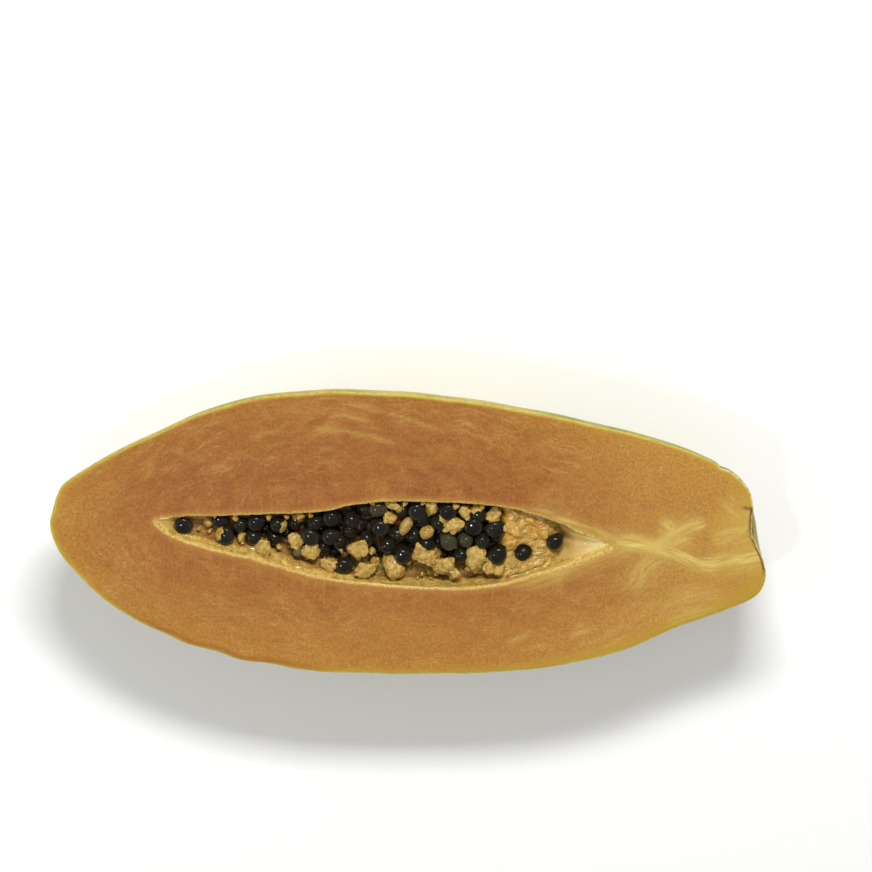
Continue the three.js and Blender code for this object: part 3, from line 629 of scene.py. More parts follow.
# Papaya skin: smooth waxy peel as it grew. Yellow with green left in patches, dark green
# flecks, a few bruises and fine dry scratches, and a corky scar where the stem broke off.
def papaya_skin():
    made, tree, where, mm = material("papaya_skin_waxy_peel")
    cross = add(tree, "SeparateXYZ", {}, {0: mm})
    scar = add(tree, "Attribute", {"attribute_name": "scar"}, {}).outputs["Fac"]
    collar = add(tree, "Attribute", {"attribute_name": "collar"}, {}).outputs["Fac"]

    ripe = add(tree, "TexNoise", {}, {
        "Vector": mm, "Scale": 1 / 34, "Detail": 4.0, "Roughness": 0.6, "Distortion": 0.6})
    riper = add(tree, "MapRange", SOFT, {0: ripe, 1: 0.4, 2: 0.62})
    colour = add(tree, "Mix", MIX, {0: riper, 6: "#868836", 7: "#b5a244"})
    gold = add(tree, "TexNoise", {}, {
        "Vector": mm, "Scale": 1 / 15, "Detail": 4.0, "Roughness": 0.65, "Distortion": 0.8})
    golden = add(tree, "MapRange", SOFT, {0: gold, 1: 0.5, 2: 0.68, 4: 0.7})
    colour = add(tree, "Mix", MIX, {0: golden, 6: colour, 7: "#bda33a"})
    drawn = add(tree, "Mapping", {}, {"Vector": where, "Scale": (0.42 / MM, 1 / MM, 1 / MM)})
    green = add(tree, "TexNoise", {}, {
        "Vector": drawn, "Scale": 1 / 9, "Detail": 5.0, "Roughness": 0.7, "Distortion": 0.5})
    greens = add(tree, "MapRange", SOFT, {0: green, 1: 0.54, 2: 0.72, 4: 0.6})
    colour = add(tree, "Mix", MIX, {0: greens, 6: colour, 7: "#6b7331"})
    blossom = add(tree, "MapRange", SOFT, {0: cross.outputs[0], 1: -70, 2: -124, 4: 0.6})
    ends = add(tree, "TexNoise", {}, {"Vector": mm, "Scale": 1 / 12, "Detail": 3.0})
    ends = add(tree, "MapRange", SOFT, {0: ends, 1: 0.35, 2: 0.6})
    ends = add(tree, "Math", TIMES, {0: blossom, 1: ends})
    colour = add(tree, "Mix", MIX, {0: ends, 6: colour, 7: "#757b36"})

    # Flecks: one in each cell of 4 mm and of 2.3 mm, about a third of them missing
    thick = add(tree, "TexNoise", {}, {"Vector": mm, "Scale": 1 / 28, "Detail": 2.0})
    thick = add(tree, "MapRange", SOFT, {0: thick, 1: 0.34, 2: 0.54, 3: 0.25})
    along = add(tree, "Mapping", {}, {"Vector": where, "Scale": (0.67 / MM, 1 / MM, 1 / MM)})
    for size, near, far, strength, missing in ((4.0, 0.1, 0.22, 0.8, 0.3), (2.3, 0.12, 0.28, 0.6, 0.4)):
        spots = add(tree, "TexVoronoi", {}, {"Vector": along, "Scale": 1 / size})
        tone = add(tree, "SeparateColor", {}, {0: spots.outputs["Color"]})
        kept = add(tree, "MapRange", SOFT, {0: tone, 1: missing, 2: missing + 0.05})
        fleck = add(tree, "MapRange", SOFT, {
            0: spots.outputs["Distance"], 1: near, 2: far, 3: strength, 4: 0.0})
        fleck = add(tree, "Math", TIMES, {0: add(tree, "Math", TIMES, {0: fleck, 1: kept}), 1: thick})
        colour = add(tree, "Mix", MIX, {0: fleck, 6: colour, 7: "#48562c"})
    bruise = add(tree, "TexNoise", {}, {
        "Vector": mm, "Scale": 1 / 26, "Detail": 4.0, "Roughness": 0.6, "Distortion": 1.0})
    bruise = add(tree, "MapRange", SOFT, {0: bruise, 1: 0.63, 2: 0.74, 4: 0.55})
    colour = add(tree, "Mix", MIX, {0: bruise, 6: colour, 7: "#80652e"})
    pores = add(tree, "TexNoise", {}, {"Vector": mm, "Scale": 1 / 1.1, "Detail": 3.0, "Roughness": 0.7})
    greys = add(tree, "MapRange", {}, {0: pores, 1: 0.3, 2: 0.7, 3: 0.34, 4: 0.66})
    colour = add(tree, "Mix", OVERLAY, {0: 0.28, 6: colour, 7: greys})
    path = add(tree, "TexNoise", {}, {
        "Vector": drawn, "Scale": 1 / 12, "Detail": 2.0, "Distortion": 1.5})
    off = add(tree, "Math", {"operation": "ABSOLUTE"}, {0: add(tree, "Math", LESS, {0: path, 1: 0.5})})
    line = add(tree, "MapRange", SOFT, {0: off, 1: 0.0, 2: 0.006, 3: 0.5, 4: 0.0})
    here = add(tree, "TexNoise", {}, {"Vector": mm, "Scale": 1 / 18, "Detail": 1.0})
    here = add(tree, "MapRange", SOFT, {0: here, 1: 0.55, 2: 0.65})
    scratch = add(tree, "Math", TIMES, {0: line, 1: here})
    colour = add(tree, "Mix", MIX, {0: scratch, 6: colour, 7: "#a99a66"})

    wood = add(tree, "TexNoise", {}, {
        "Vector": mm, "Scale": 1 / 1.6, "Detail": 5.0, "Roughness": 0.7, "Distortion": 1.2})
    browns = [(0.3, "#372a1e"), (0.5, "#65533e"), (0.72, "#958570")]
    bark = add(tree, "ValToRGB", {"ramp": browns}, {0: wood})
    round_scar = add(tree, "Math", TIMES, {0: collar, 1: 0.75})
    colour = add(tree, "Mix", MIX, {0: round_scar, 6: colour, 7: "#a9a066"})
    colour = add(tree, "Mix", MIX, {0: scar, 6: colour, 7: bark})

    ripples = add(tree, "TexNoise", {}, {"Vector": mm, "Scale": 1 / 2.0, "Detail": 2.0})
    height = add(tree, "Mix", MIX, {0: scar, 6: ripples, 7: wood})
    depth = add(tree, "MapRange", {}, {0: scar, 3: 0.12, 4: 1.0})
    bump = add(tree, "Bump", {}, {"Distance": 0.6 * MM, "Height": height, "Strength": depth})
    wax = add(tree, "TexNoise", {}, {"Vector": mm, "Scale": 1 / 11, "Detail": 3.0})
    dull = add(tree, "MapRange", {}, {0: wax, 1: 0.3, 2: 0.7, 3: 0.38, 4: 0.52})
    rough = add(tree, "Mix", {"data_type": "FLOAT"}, {0: scar, 2: dull, 3: 0.85})
    shader = add(tree, "BsdfPrincipled", {}, {
        "Base Color": colour, "Roughness": rough, "Normal": bump, "IOR": 1.43, "Specular IOR Level": 0.12,
        "Subsurface Weight": 0.08, "Subsurface Radius": (1.0, 0.7, 0.2), "Subsurface Scale": 1.0 * MM})
    add(tree, "OutputMaterial", {}, {"Surface": shader})
    return made


# Papaya seeds: black wrinkled seeds, each in a clear wet jelly coat that gives the sharp lights, with a
# painted glow round their rims
def wet_seed():
    made, tree, _, mm = material("papaya_seed_wet_jelly_coat")
    # pale holds each seed's own greyness plus a painted glow round its rim
    pale = add(tree, "Attribute", {"attribute_name": "pale"}, {}).outputs["Fac"]
    folds = add(tree, "TexNoise", {}, {
        "Vector": mm, "Scale": 1 / 1.4, "Detail": 3.0, "Roughness": 0.6, "Distortion": 1.6})
    fold_tone = add(tree, "MapRange", SOFT, {0: folds, 1: 0.36, 2: 0.68})
    colour = add(tree, "Mix", MIX, {0: fold_tone, 6: "#030201", 7: "#110e07"})
    path = add(tree, "TexNoise", {}, {"Vector": mm, "Scale": 1 / 1.7, "Detail": 2.0, "Distortion": 2.4})
    off = add(tree, "Math", {"operation": "ABSOLUTE"}, {0: add(tree, "Math", LESS, {0: path, 1: 0.5})})
    wrinkle = add(tree, "MapRange", SOFT, {0: off, 1: 0.0, 2: 0.05, 3: 0.5, 4: 0.0})
    colour = add(tree, "Mix", MIX, {0: wrinkle, 6: colour, 7: "#272114"})
    core = add(tree, "MapRange", SOFT, {0: folds, 1: 0.3, 2: 0.7, 3: 0.45, 4: 1.0})
    amount = add(tree, "Math", TIMES, {0: pale, 1: core})
    colour = add(tree, "Mix", MIX, {0: amount, 6: colour, 7: "#64603c"})
    bump = add(tree, "Bump", {}, {"Strength": 0.9, "Distance": 0.4 * MM, "Height": folds})
    jelly = add(tree, "TexNoise", {}, {"Vector": mm, "Scale": 1 / 1.7, "Detail": 1.0})
    film = add(tree, "Bump", {}, {"Strength": 0.25, "Distance": 0.3 * MM, "Height": jelly})
    shader = add(tree, "BsdfPrincipled", {}, {
        "Base Color": colour, "Normal": bump, "Coat Normal": film, "IOR": 1.42, "Roughness": 0.32,
        "Specular IOR Level": 0.08, "Coat Weight": 1.0, "Coat Roughness": 0.02, "Coat IOR": 1.28})
    add(tree, "OutputMaterial", {}, {"Surface": shader})
    return made


# Seed pulp: torn, crumbly flesh that held the seeds. Pale yellow, granular and moist, orange
# where it is bruised, and brown membrane with painted shade down to black where it lies deep between the
# seeds.
def seed_pulp():
    made, tree, _, mm = material("papaya_seed_pulp_torn")
    deep = add(tree, "Attribute", {"attribute_name": "deep"}, {}).outputs["Fac"]
    warm = add(tree, "Attribute", {"attribute_name": "warm"}, {}).outputs["Fac"]
    grains = add(tree, "TexNoise", {}, {
        "Vector": mm, "Scale": 1 / 1.5, "Detail": 4.0, "Roughness": 0.62, "Distortion": 0.5})
    grain_tone = add(tree, "MapRange", SOFT, {0: grains, 1: 0.26, 2: 0.72})
    yellow = add(tree, "Mix", MIX, {0: grain_tone, 6: "#947129", 7: "#c6aa5c"})
    amber = add(tree, "Mix", MIX, {0: grain_tone, 6: "#a56c1d", 7: "#cb9d3e"})
    wide = add(tree, "TexNoise", {}, {
        "Vector": mm, "Scale": 1 / 4.5, "Detail": 3.0, "Roughness": 0.6, "Distortion": 0.8})
    ambers = add(tree, "MapRange", SOFT, {0: wide, 1: 0.36, 2: 0.66, 3: 0.15})
    ambers = add(tree, "Math", TIMES, {0: ambers, 1: add(tree, "Math", PLUS, {0: warm, 1: 0.08})})
    colour = add(tree, "Mix", MIX, {0: ambers, 6: yellow, 7: amber})
    spot = add(tree, "TexNoise", {}, {
        "Vector": mm, "Scale": 1 / 2.6, "Detail": 2.0, "Roughness": 0.6, "Distortion": 0.6})
    spots = add(tree, "MapRange", SOFT, {0: spot, 1: 0.6, 2: 0.74, 4: 0.42})
    spots = add(tree, "Math", TIMES, {0: spots, 1: warm})
    colour = add(tree, "Mix", MIX, {0: spots, 6: colour, 7: "#8c511a"})
    # deep mixes in brown membrane and painted shade, near black in patches
    veil = add(tree, "TexNoise", {}, {
        "Vector": mm, "Scale": 1 / 6, "Detail": 3.0, "Roughness": 0.6, "Distortion": 0.8})
    veils = add(tree, "MapRange", SOFT, {0: veil, 1: 0.42, 2: 0.62})
    membrane_and_shade = add(tree, "Mix", MIX, {0: veils, 6: "#0e0804", 7: "#6a4115"})
    colour = add(tree, "Mix", MIX, {0: deep, 6: colour, 7: membrane_and_shade})
    cells = add(tree, "TexVoronoi", {"feature": "SMOOTH_F1"}, {
        "Vector": mm, "Scale": 1 / 0.8, "Smoothness": 0.4})
    granule = add(tree, "MapRange", SOFT, {
        0: cells.outputs["Distance"], 1: 0.0, 2: 0.6, 3: 1.0, 4: 0.0})
    height = add(tree, "Mix", MIX, {0: 0.55, 6: grains, 7: granule})
    bump = add(tree, "Bump", {}, {"Strength": 0.28, "Distance": 0.4 * MM, "Height": height})
    shader = add(tree, "BsdfPrincipled", {}, {
        "Base Color": colour, "Normal": bump, "IOR": 1.37, "Roughness": 0.4, "Subsurface Weight": 0.7,
        "Subsurface Radius": (1.0, 0.7, 0.3), "Subsurface Scale": 1.2 * MM,
        "Coat Weight": 0.35, "Coat Roughness": 0.12, "Coat IOR": 1.34})
    add(tree, "OutputMaterial", {}, {"Surface": shader})
    return made


# The fruit

FLESH, LINING, SKIN, SEED, PULP = cut_flesh(), cavity_lining(), papaya_skin(), wet_seed(), seed_pulp()

AROUND = 380  # rings along the fruit
FACE_RINGS, BACK_TURNS, WALL_TURNS = 52, 72, 60
FACE_MIDDLE = (122, -4)
CAVITY_HEIGHT = -7
KINK_ALONG, KINK_HALF, KINK_DEPTH = 232.4, 1.6, 0.9  # a small kink in the upper edge
FIBRE_STEP = 9  # keeps one fibre's threads from carrying on in the next
# The line between the cavity's upper and lower side, on the cut face and in the wall
MIDDLE_ALONG, MIDDLE_ON_FACE, MIDDLE_IN_WALL = [35, 105, 195], [-3.5, -6, -5], [-3.5, -7, -5]
NOTCH = [(240.6, 10.4), (245.5, 10)]  # a short crack that runs in from the scar's upper end

rim_rows, cavity_rows = even_rows(RIM, AROUND), even_rows(CAVITY, AROUND)


def knife_waver(line):
    """The cut edge's small waves, its kink and its blunt tip, drawn in from the outline."""
    inward = np.array(FACE_MIDDLE) - line
    inward = inward / np.hypot(*inward.T)[:, None]
    along, height = line.T
    low = (height < 0) * stretch(along, 28, 45, 82, 96)
    amount = 0.12 * (1 + np.sin(along / 4.1)) + low * 0.45 * (1 + np.sin(along / 3.1 + 1.9))
    kink = KINK_DEPTH * np.exp(-(((along - KINK_ALONG) / KINK_HALF) ** 2)) * (height > 0)
    tip = 0.5 * np.exp(-((height + 1.2) ** 2) / 0.9) * (along < 6)
    return line + inward * (amount * smooth(along, 0, 12) + kink + tip)[:, None]


def ragged(line):
    """The cavity's edge as it tore: small uneven steps, drawn out into the flesh."""
    outward = np.sign(line[:, 1:] - CAVITY_HEIGHT) * np.array([0, 1])
    places = np.column_stack([line, line[:, :1] * 0])
    steps = 0.3 * waves(places, 6, 21) + 0.3 * np.maximum(0, waves(places, 2.2, 22))
    amount = (steps + 0.12 * waves(places, 0.8, 23)) * stretch(line[:, 0], 37, 46, 182, 192)
    return line + outward * amount[:, None]


rim_upper, rim_lower = (knife_waver(line) for line in edge_curve(RIM)(rim_rows))
rim_loop = np.vstack([rim_upper, rim_lower[-2::-1]])
cavity_upper, cavity_lower = (ragged(line) for line in edge_curve(CAVITY)(cavity_rows))
cavity_loop = np.vstack([cavity_upper, cavity_lower[-2::-1]])


def back_place(i, j):
    """The fruit's back, ring by ring, with its ridges, soft dents and the dished stem scar."""
    turn = math.pi * j / BACK_TURNS
    upper, lower, row = rim_upper[i], rim_lower[i], rim_rows[i]
    centre, half = (upper + lower) / 2, (upper - lower) / 2
    width = np.hypot(*half.T)
    grown = smooth(row, RIDGE_STEM_ROW, len(RIM) - 3)
    size = RIDGE_MIDDLE + (RIDGE_STEM - RIDGE_MIDDLE) * grown
    swell = 1 + size * np.sin(RIDGES * turn) * np.sin(turn) ** 2
    lean = 1 + BACK_LEAN * (2 * centre[:, 0] / FRUIT_LENGTH - 1)
    depth = -width * BACK_DEPTH * lean * np.sin(turn)
    dents = waves(np.column_stack([centre[:, 0], half[:, 1] * np.cos(turn), depth]), 26, 1)
    swell = swell - 0.006 * (1 + dents) * np.sin(turn) ** 2
    across = centre + half * (np.cos(turn) * swell)[:, None]
    place = np.column_stack([across, depth * swell])
    place[:, 0] -= scar_depth(place)
    place[:, 2] = np.clip(place[:, 2], -CUT_HEIGHT, -RIM_DROP)
    return place


def scar_depth(place):
    """How far the stem scar is dished, less its stub, its lobes and its crumbled grain."""
    away = np.hypot(place[:, 1] - SCAR_HEIGHT, place[:, 2]) / SCAR_RADIUS
    under = np.minimum(1, -place[:, 2] / SCAR_RISE)
    dish = SCAR_DEPTH * under * smooth(1 - away, 0, 0.5)
    angle = np.arctan2(place[:, 2], place[:, 1] - SCAR_HEIGHT)
    crumbled = waves(place, 2.2, 5, 4)
    stub = under * (1 - smooth(away, 0.34, 0.5)) * (1.5 + 0.5 * crumbled)
    lobes = 0.3 * np.cos(RIDGES * angle) * stretch(away, 0.4, 0.8, 0.9, 1.15) * under
    rough = 0.35 * crumbled * (1 - smooth(away, 0.7, 0.9)) * under
    return np.where(place[:, 0] > SCAR_ALONG - SCAR_RADIUS, dish - stub - lobes - rough, 0)


def face_place(i, j):
    """The cut face, from the cavity's edge out to the peel, closer together at both edges."""
    even = j / FACE_RINGS
    share = 0.55 * even + 0.45 * (0.5 - 0.5 * np.cos(math.pi * even))
    start, end = cavity_loop[i], rim_loop[i]
    return np.column_stack([start + (end - start) * share[:, None], np.zeros(len(i))])


def wall_place(i, j):
    """The cavity wall, with its lengthwise folds and the loose fold below the seeds."""
    turn = math.pi * j / WALL_TURNS
    upper, lower = cavity_upper[i], cavity_lower[i]
    centre, half = (upper + lower) / 2, (upper - lower) / 2
    width = np.hypot(*half.T)
    swell = 1 + CAVITY_RIDGE * np.cos(RIDGES * turn * 2) * np.sin(turn) ** 2
    flat = np.column_stack([centre[:, 0] / 4, half[:, 1] * np.cos(turn), width * np.sin(turn)])
    swell = swell + (0.05 * waves(flat, 2.2, 3) + 0.025 * waves(flat, 0.9, 4)) * np.sin(turn)
    across = centre + half * (np.cos(turn) * swell)[:, None]
    along = across[:, 0]
    gentle = stretch(along, 38, 48, 96, 112) * smooth(-np.cos(turn), 0, 0.6)
    shallow = np.maximum(smooth(along, 176, 184), 1 - smooth(along, 39, 44))
    depth = width * CAVITY_DEPTH * (1 - 0.62 * shallow)
    place = np.column_stack([across, -depth * np.sin(turn) ** (1 + np.maximum(gentle, shallow)) * swell])
    gap, _, run = gap_to_line(place[:, :2], FOLD)
    fold = (1 - smooth(gap, 0.3, 1.3)) * stretch(run, 0, 8, 22, 28)
    place[:, 2] += 1.5 * fold * smooth(-place[:, 2], 0.6, 2.5)
    place[:, 2] = np.minimum(place[:, 2], -LIP_DROP)
    return place


def paint_fibres(face, places, skin_gap):
    """Paints the fibres and the long veins, each with its threads' own ways, and gives how much of
    them there is. Where two meet, their threads fade."""
    flat = places[:, :2]
    wander = waves(places, 6, 8) * 0.8
    fibre, side_way, run_way = np.zeros(len(flat)), skin_gap.copy(), flat[:, 0].copy()
    rival = fibre.copy()
    veins = [(VEIN_HALF, VEIN_STRENGTH, VEIN_FADE, VEIN_FADE, line) for line in VEINS]
    for number, (half_width, strength, fade_in, fade_out, line) in enumerate(FIBRES + veins):
        gap, side, run = gap_to_line(flat, line)
        away = (gap + wander).clip(0) / half_width
        whole = np.hypot(*np.diff(np.array(line), axis=0).T).sum()
        ends = smooth(run, -0.1, fade_in) if fade_in else 1
        ends = ends * (smooth(whole - run, -0.1, fade_out) if fade_out else 1)
        found = ends * strength * (0.7 * np.exp(-1.1 * away**2) + 0.3 * np.exp(-0.22 * away**2))
        own = found > np.maximum(fibre, 0.02)
        side_way[own] = (gap * side + number * FIBRE_STEP)[own]
        run_way[own] = run[own]
        rival = np.maximum(rival, np.minimum(fibre, found))
        fibre = np.maximum(fibre, found)
    alone = smooth((fibre - rival) / np.maximum(fibre, 0.02), 0.1, 0.6)
    paint(face, fibre=fibre, fibre_side=side_way, fibre_run=run_way, alone=alone)
    return fibre


def dress_face(face):
    """The cut face's relief, and what its flesh reads: the gaps to its edges, its fibres, the
    cracked and papery edge at the scar, and how wide the yellow and the lining are."""
    places = fruit_places(face)
    along, height, _ = places.T
    skin_gap, cavity_gap = (gap_to_line(places[:, :2], loop)[0] for loop in (rim_loop, cavity_loop))
    fibre = paint_fibres(face, places, skin_gap)
    relief = 0.1 * waves(np.column_stack([along / 3, height, along * 0]), 6, 2) + 0.05 * waves(places, 1.7, 4)
    relief = relief * 0.8 + 0.09 * fibre
    drop = FACE_DROP - np.minimum(relief, FACE_DROP - 0.02)
    drop = drop + (RIM_DROP - drop) * (1 - smooth(skin_gap, 0, 0.8))
    drop = drop + (LIP_DROP - drop) * (1 - smooth(cavity_gap, 0, 0.7))
    places[:, 2] = -drop
    set_places(face, places)

    torn = 0.5 + 0.55 * waves(places, 2.4, 6)
    split = 0.5 + 0.5 * torn
    at_scar = smooth(along, 236, 242) * stretch(height, -14, -11, 9.5, 11.5)
    crack = at_scar * stretch(skin_gap, split - 0.45, split - 0.2, split + 0.1, split + 0.45)
    notch = gap_to_line(places[:, :2], NOTCH)[0]
    crack = np.maximum(crack, 0.85 * (1 - smooth(notch + 0.6 * torn, 0.4, 1.3)))
    corner = smooth(along, 229, 232) * smooth(height, 8, 11) * (1 - smooth(skin_gap, 0.2, 0.7))
    papery = np.maximum(at_scar * (1 - smooth(skin_gap, split - 0.5, split - 0.2)), corner)
    lower = height < -3
    yellow = 1.6 + 1.6 * (1 - smooth(along, 0, 30)) + 3.4 * smooth(along, 140, 205) * lower
    yellow = yellow + 4.5 * smooth(along, 222, 244) + 1.2 * smooth(along, 60, 110) * lower
    rust = lower * stretch(along, 20, 40, 80, 105)
    stem = smooth(along, 222, 242) * (1 - smooth(np.abs(height + 1), 9, 18))
    below = height < np.interp(along, MIDDLE_ALONG, MIDDLE_ON_FACE)
    lip = 0.95 + below * (0.25 + 0.9 * smooth(along, 158, 180))
    paint(face, skin_gap=skin_gap, cavity_gap=cavity_gap, crack=np.clip(crack, 0, 1), papery=0.8 * papery)
    paint(face, stem=stem, yellow=yellow, rust=rust, lip=lip, peel=0.9 - 0.65 * rust)


def dress_wall(wall):
    """The cream band along the wall's edge, wider on its lower side, and the fold's crest."""
    places = fruit_places(wall)
    along, height, _ = places.T
    inward = gap_to_line(places[:, :2], cavity_loop)[0] + 0.5 * waves(places, 2.5, 9)
    below = height < np.interp(along, MIDDLE_ALONG, MIDDLE_IN_WALL)
    width = 0.8 + below * (0.4 + 0.7 * stretch(along, 40, 52, 84, 102))
    gap, _, run = gap_to_line(places[:, :2], FOLD)
    fold = 0.75 * (1 - smooth(gap + 0.3 * waves(places, 2, 10), 0.4, 1.1)) * stretch(run, 0, 8, 22, 28)
    paint(wall, band=np.maximum(1 - smooth(inward / width, 0.75, 1.2), fold))


def dress_back(back):
    """The corky scar and the dry skin round it."""
    places = fruit_places(back)
    away = np.hypot(places[:, 1] - SCAR_HEIGHT, places[:, 2]) / SCAR_RADIUS + 0.08 * waves(places, 3, 7)
    at_stem = places[:, 0] > SCAR_ALONG - 10
    paint(back, scar=at_stem * (1 - smooth(away, 0.72, 0.84)))
    paint(back, collar=at_stem * stretch(away, 0.7, 0.86, 1, 1.35))


def half_fruit():
    back = sheet("back", AROUND, BACK_TURNS, back_place, SKIN)
    face = sheet("face", AROUND * 2, FACE_RINGS, face_place, FLESH)
    wall = sheet("wall", AROUND, WALL_TURNS, wall_place, LINING)
    dress_face(face)
    dress_wall(wall)
    dress_back(back)
    finish(join("papaya_half_cut", [face, back, wall]), 40, "flesh", "papaya_half")


# Seeds and pulp


def ball(name, subdivisions, shape, material_used):
    """An icosphere primitive of radius 1 whose points are moved by shape(points)."""
    bpy.ops.mesh.primitive_ico_sphere_add(subdivisions=subdivisions, radius=1)
    made = bpy.context.object
    made.name = made.data.name = name
    reshape(made.data, shape(coordinates(made.data)))
    made.data.materials.append(material_used)
    return made


def copy_to(model, place, scale, turn):
    """A copy with its own mesh, at along, height and depth in fruit millimetres. What would rise
    past the cut face is pressed flatter."""
    roll, pitch, yaw = (
        Matrix.Rotation(angle, 4, axis) for angle, axis in zip((turn[0], turn[1] * 0.3, turn[2]), "XYZ"))
    move = Matrix.Translation(to_frame(np.array(place) * (1, 1, -1)))
    made = model.copy()
    made.data = model.data.copy()
    bpy.context.scene.collection.objects.link(made)
    made.data.transform(move @ yaw @ pitch @ roll @ Matrix.Diagonal((*(s * MM for s in scale), 1)))
    places = coordinates(made.data)
    ceiling = (CUT_HEIGHT - PRESS_BELOW) * MM
    over = places[:, 2] > ceiling
    places[over, 2] = ceiling + (places[over, 2] - ceiling) * PRESS_SHARE
    reshape(made.data, places)
    return made


def seed_shape(number):
    """An egg shape, thinner at one end, with shallow dimples."""

    def shape(points):
        taper = 1 - (0.08 + 0.03 * number) * points[:, 0] - 0.05 * points[:, 0] ** 2
        points[:, 1:] *= taper[:, None]
        dimple = 1 + 0.03 * waves(points, 0.5, number + 20) + 0.035 * waves(points, 1.2, number + 30)
        return points * dimple[:, None]

    return shape


def thicken(obj, thickness, offset):
    """Gives a sheet its thickness, in millimetres."""
    solid = obj.modifiers.new("thickness", "SOLIDIFY")
    solid.thickness = thickness * MM
    solid.offset = offset
    bpy.context.view_layer.objects.active = obj
    bpy.ops.object.modifier_apply(modifier="thickness")


def shell_on(seed, turn):
    """A curled flake of dried jelly over part of a seed, with a torn edge."""
    along, height, depth, size = SEEDS[seed]
    bpy.ops.mesh.primitive_grid_add(x_subdivisions=40, y_subdivisions=26, size=2)
    made = bpy.context.object
    u, v = coordinates(made.data).T[:2]
    flat = np.column_stack([u, v, u * 0])
    edge = 1 + 0.22 * waves(flat, 0.35, 40 + seed)
    yaw, rise = turn + 0.95 * u * edge, 0.55 + 0.55 * v * edge
    radius = SHELL_RADIUS * size * (1 + 0.05 * waves(flat, 0.5, 50 + seed))
    ring = radius * np.cos(rise)
    up = np.minimum(-depth + radius * np.sin(rise), -0.7)
    places = np.column_stack([along + ring * np.cos(yaw), height + ring * np.sin(yaw), up])
    set_places(made, places)
    made.data.materials.append(PULP)
    thicken(made, 0.22, -1)
    paint(made, deep=0.12, warm=0.3)
    return made


def painted_jelly_glow(seed, place, low):
    """A painted glow that stands for light through the jelly, added to low: most round the seed's lower edge,
    away from the light.
    """
    off = fruit_places(seed)[:, :2] - np.array(place[:2])
    reach = np.hypot(*off.T)
    return low + PAINTED_RIM_GLOW * smooth(reach / reach.max(), 0.5, 0.95) * (0.6 - 0.4 * off[:, 1] / reach.max())


def seeds_and_loose():
    models = [ball(f"seed_model_{k}", 4, seed_shape(k), SEED) for k in range(4)]
    draw = draws(SEED_DRAW)
    tone = draws(TONE_DRAW)
    made = []
    for k, (*place, size) in enumerate(SEEDS):
        turn = [next(draw) * math.pi for _ in range(3)]
        made.append(copy_to(models[k % 4], place, [half * size for half in SEED_HALF], turn))
        light = 0.36 if k in PALE_SEEDS else 0.05 * next(tone)
        paint(made[-1], pale=painted_jelly_glow(made[-1], place, light))
    for k, (along, height, depth) in enumerate(UNDER_SEEDS):
        turn = [next(tone) * math.pi for _ in range(3)]
        made.append(copy_to(models[k % 4], (along, height, depth + UNDER_DROP), SEED_HALF, turn))
        paint(made[-1], pale=0)
    *place, size = EMPTY_SEED
    made.append(copy_to(models[0], place, [half * size for half in SEED_HALF], [0, 0, 1.2]))
    paint(made[-1], pale=1)
    finish(join("seed_cluster", made), 180, "seed", "seed_mass")
    for k, (name, *place) in enumerate(LOOSE_SEEDS):
        copy = copy_to(models[k], place, SEED_HALF, [0.4 * k, 0.4, 0.3 * k])
        paint(copy, pale=painted_jelly_glow(copy, place, 0.02))
        finish(join("wet_" + name, [copy]), 180, "seed", name)
    for model in models:
        bpy.data.objects.remove(model)


def crumb_shape(number):
    """A torn chunk: a ball cut by planes at random, then broken up into grains."""

    def shape(points):
        draw = draws(number * 7 + 3)
        reach = np.full(len(points), 1.25)
        for _ in range(6):
            z, yaw = 2 * next(draw) - 1, 2 * math.pi * next(draw)
            flat = math.sqrt(1 - z * z)
            facing = points @ np.array([flat * math.cos(yaw), flat * math.sin(yaw), z])
            reach = np.minimum(reach, (0.62 + 0.4 * next(draw)) / np.maximum(facing, 0.2))
        grains = 0.84 + 0.6 * np.abs(waves(points, 0.8, number + 50))
        grains += 0.13 * np.abs(waves(points, 0.35, number + 60)) + 0.03 * waves(points, 0.17, number + 70)
        return points * (reach * grains)[:, None]

    return shape


def round_shape(points):
    return points * (1 + 0.08 * waves(points, 0.5, 81) + 0.07 * waves(points, 0.22, 82))[:, None]


def tiny_crumb(model, draw, place, half, spread, deep, warm):
    """A small crumb, stretched and turned at random; deep sets its brown and painted shade."""
    scale = [half * (0.8 + spread * next(draw)) for _ in range(3)]
    made = copy_to(model, place, scale, [next(draw) * 6 for _ in range(3)])
    paint(made, deep=deep, warm=warm)
    return made


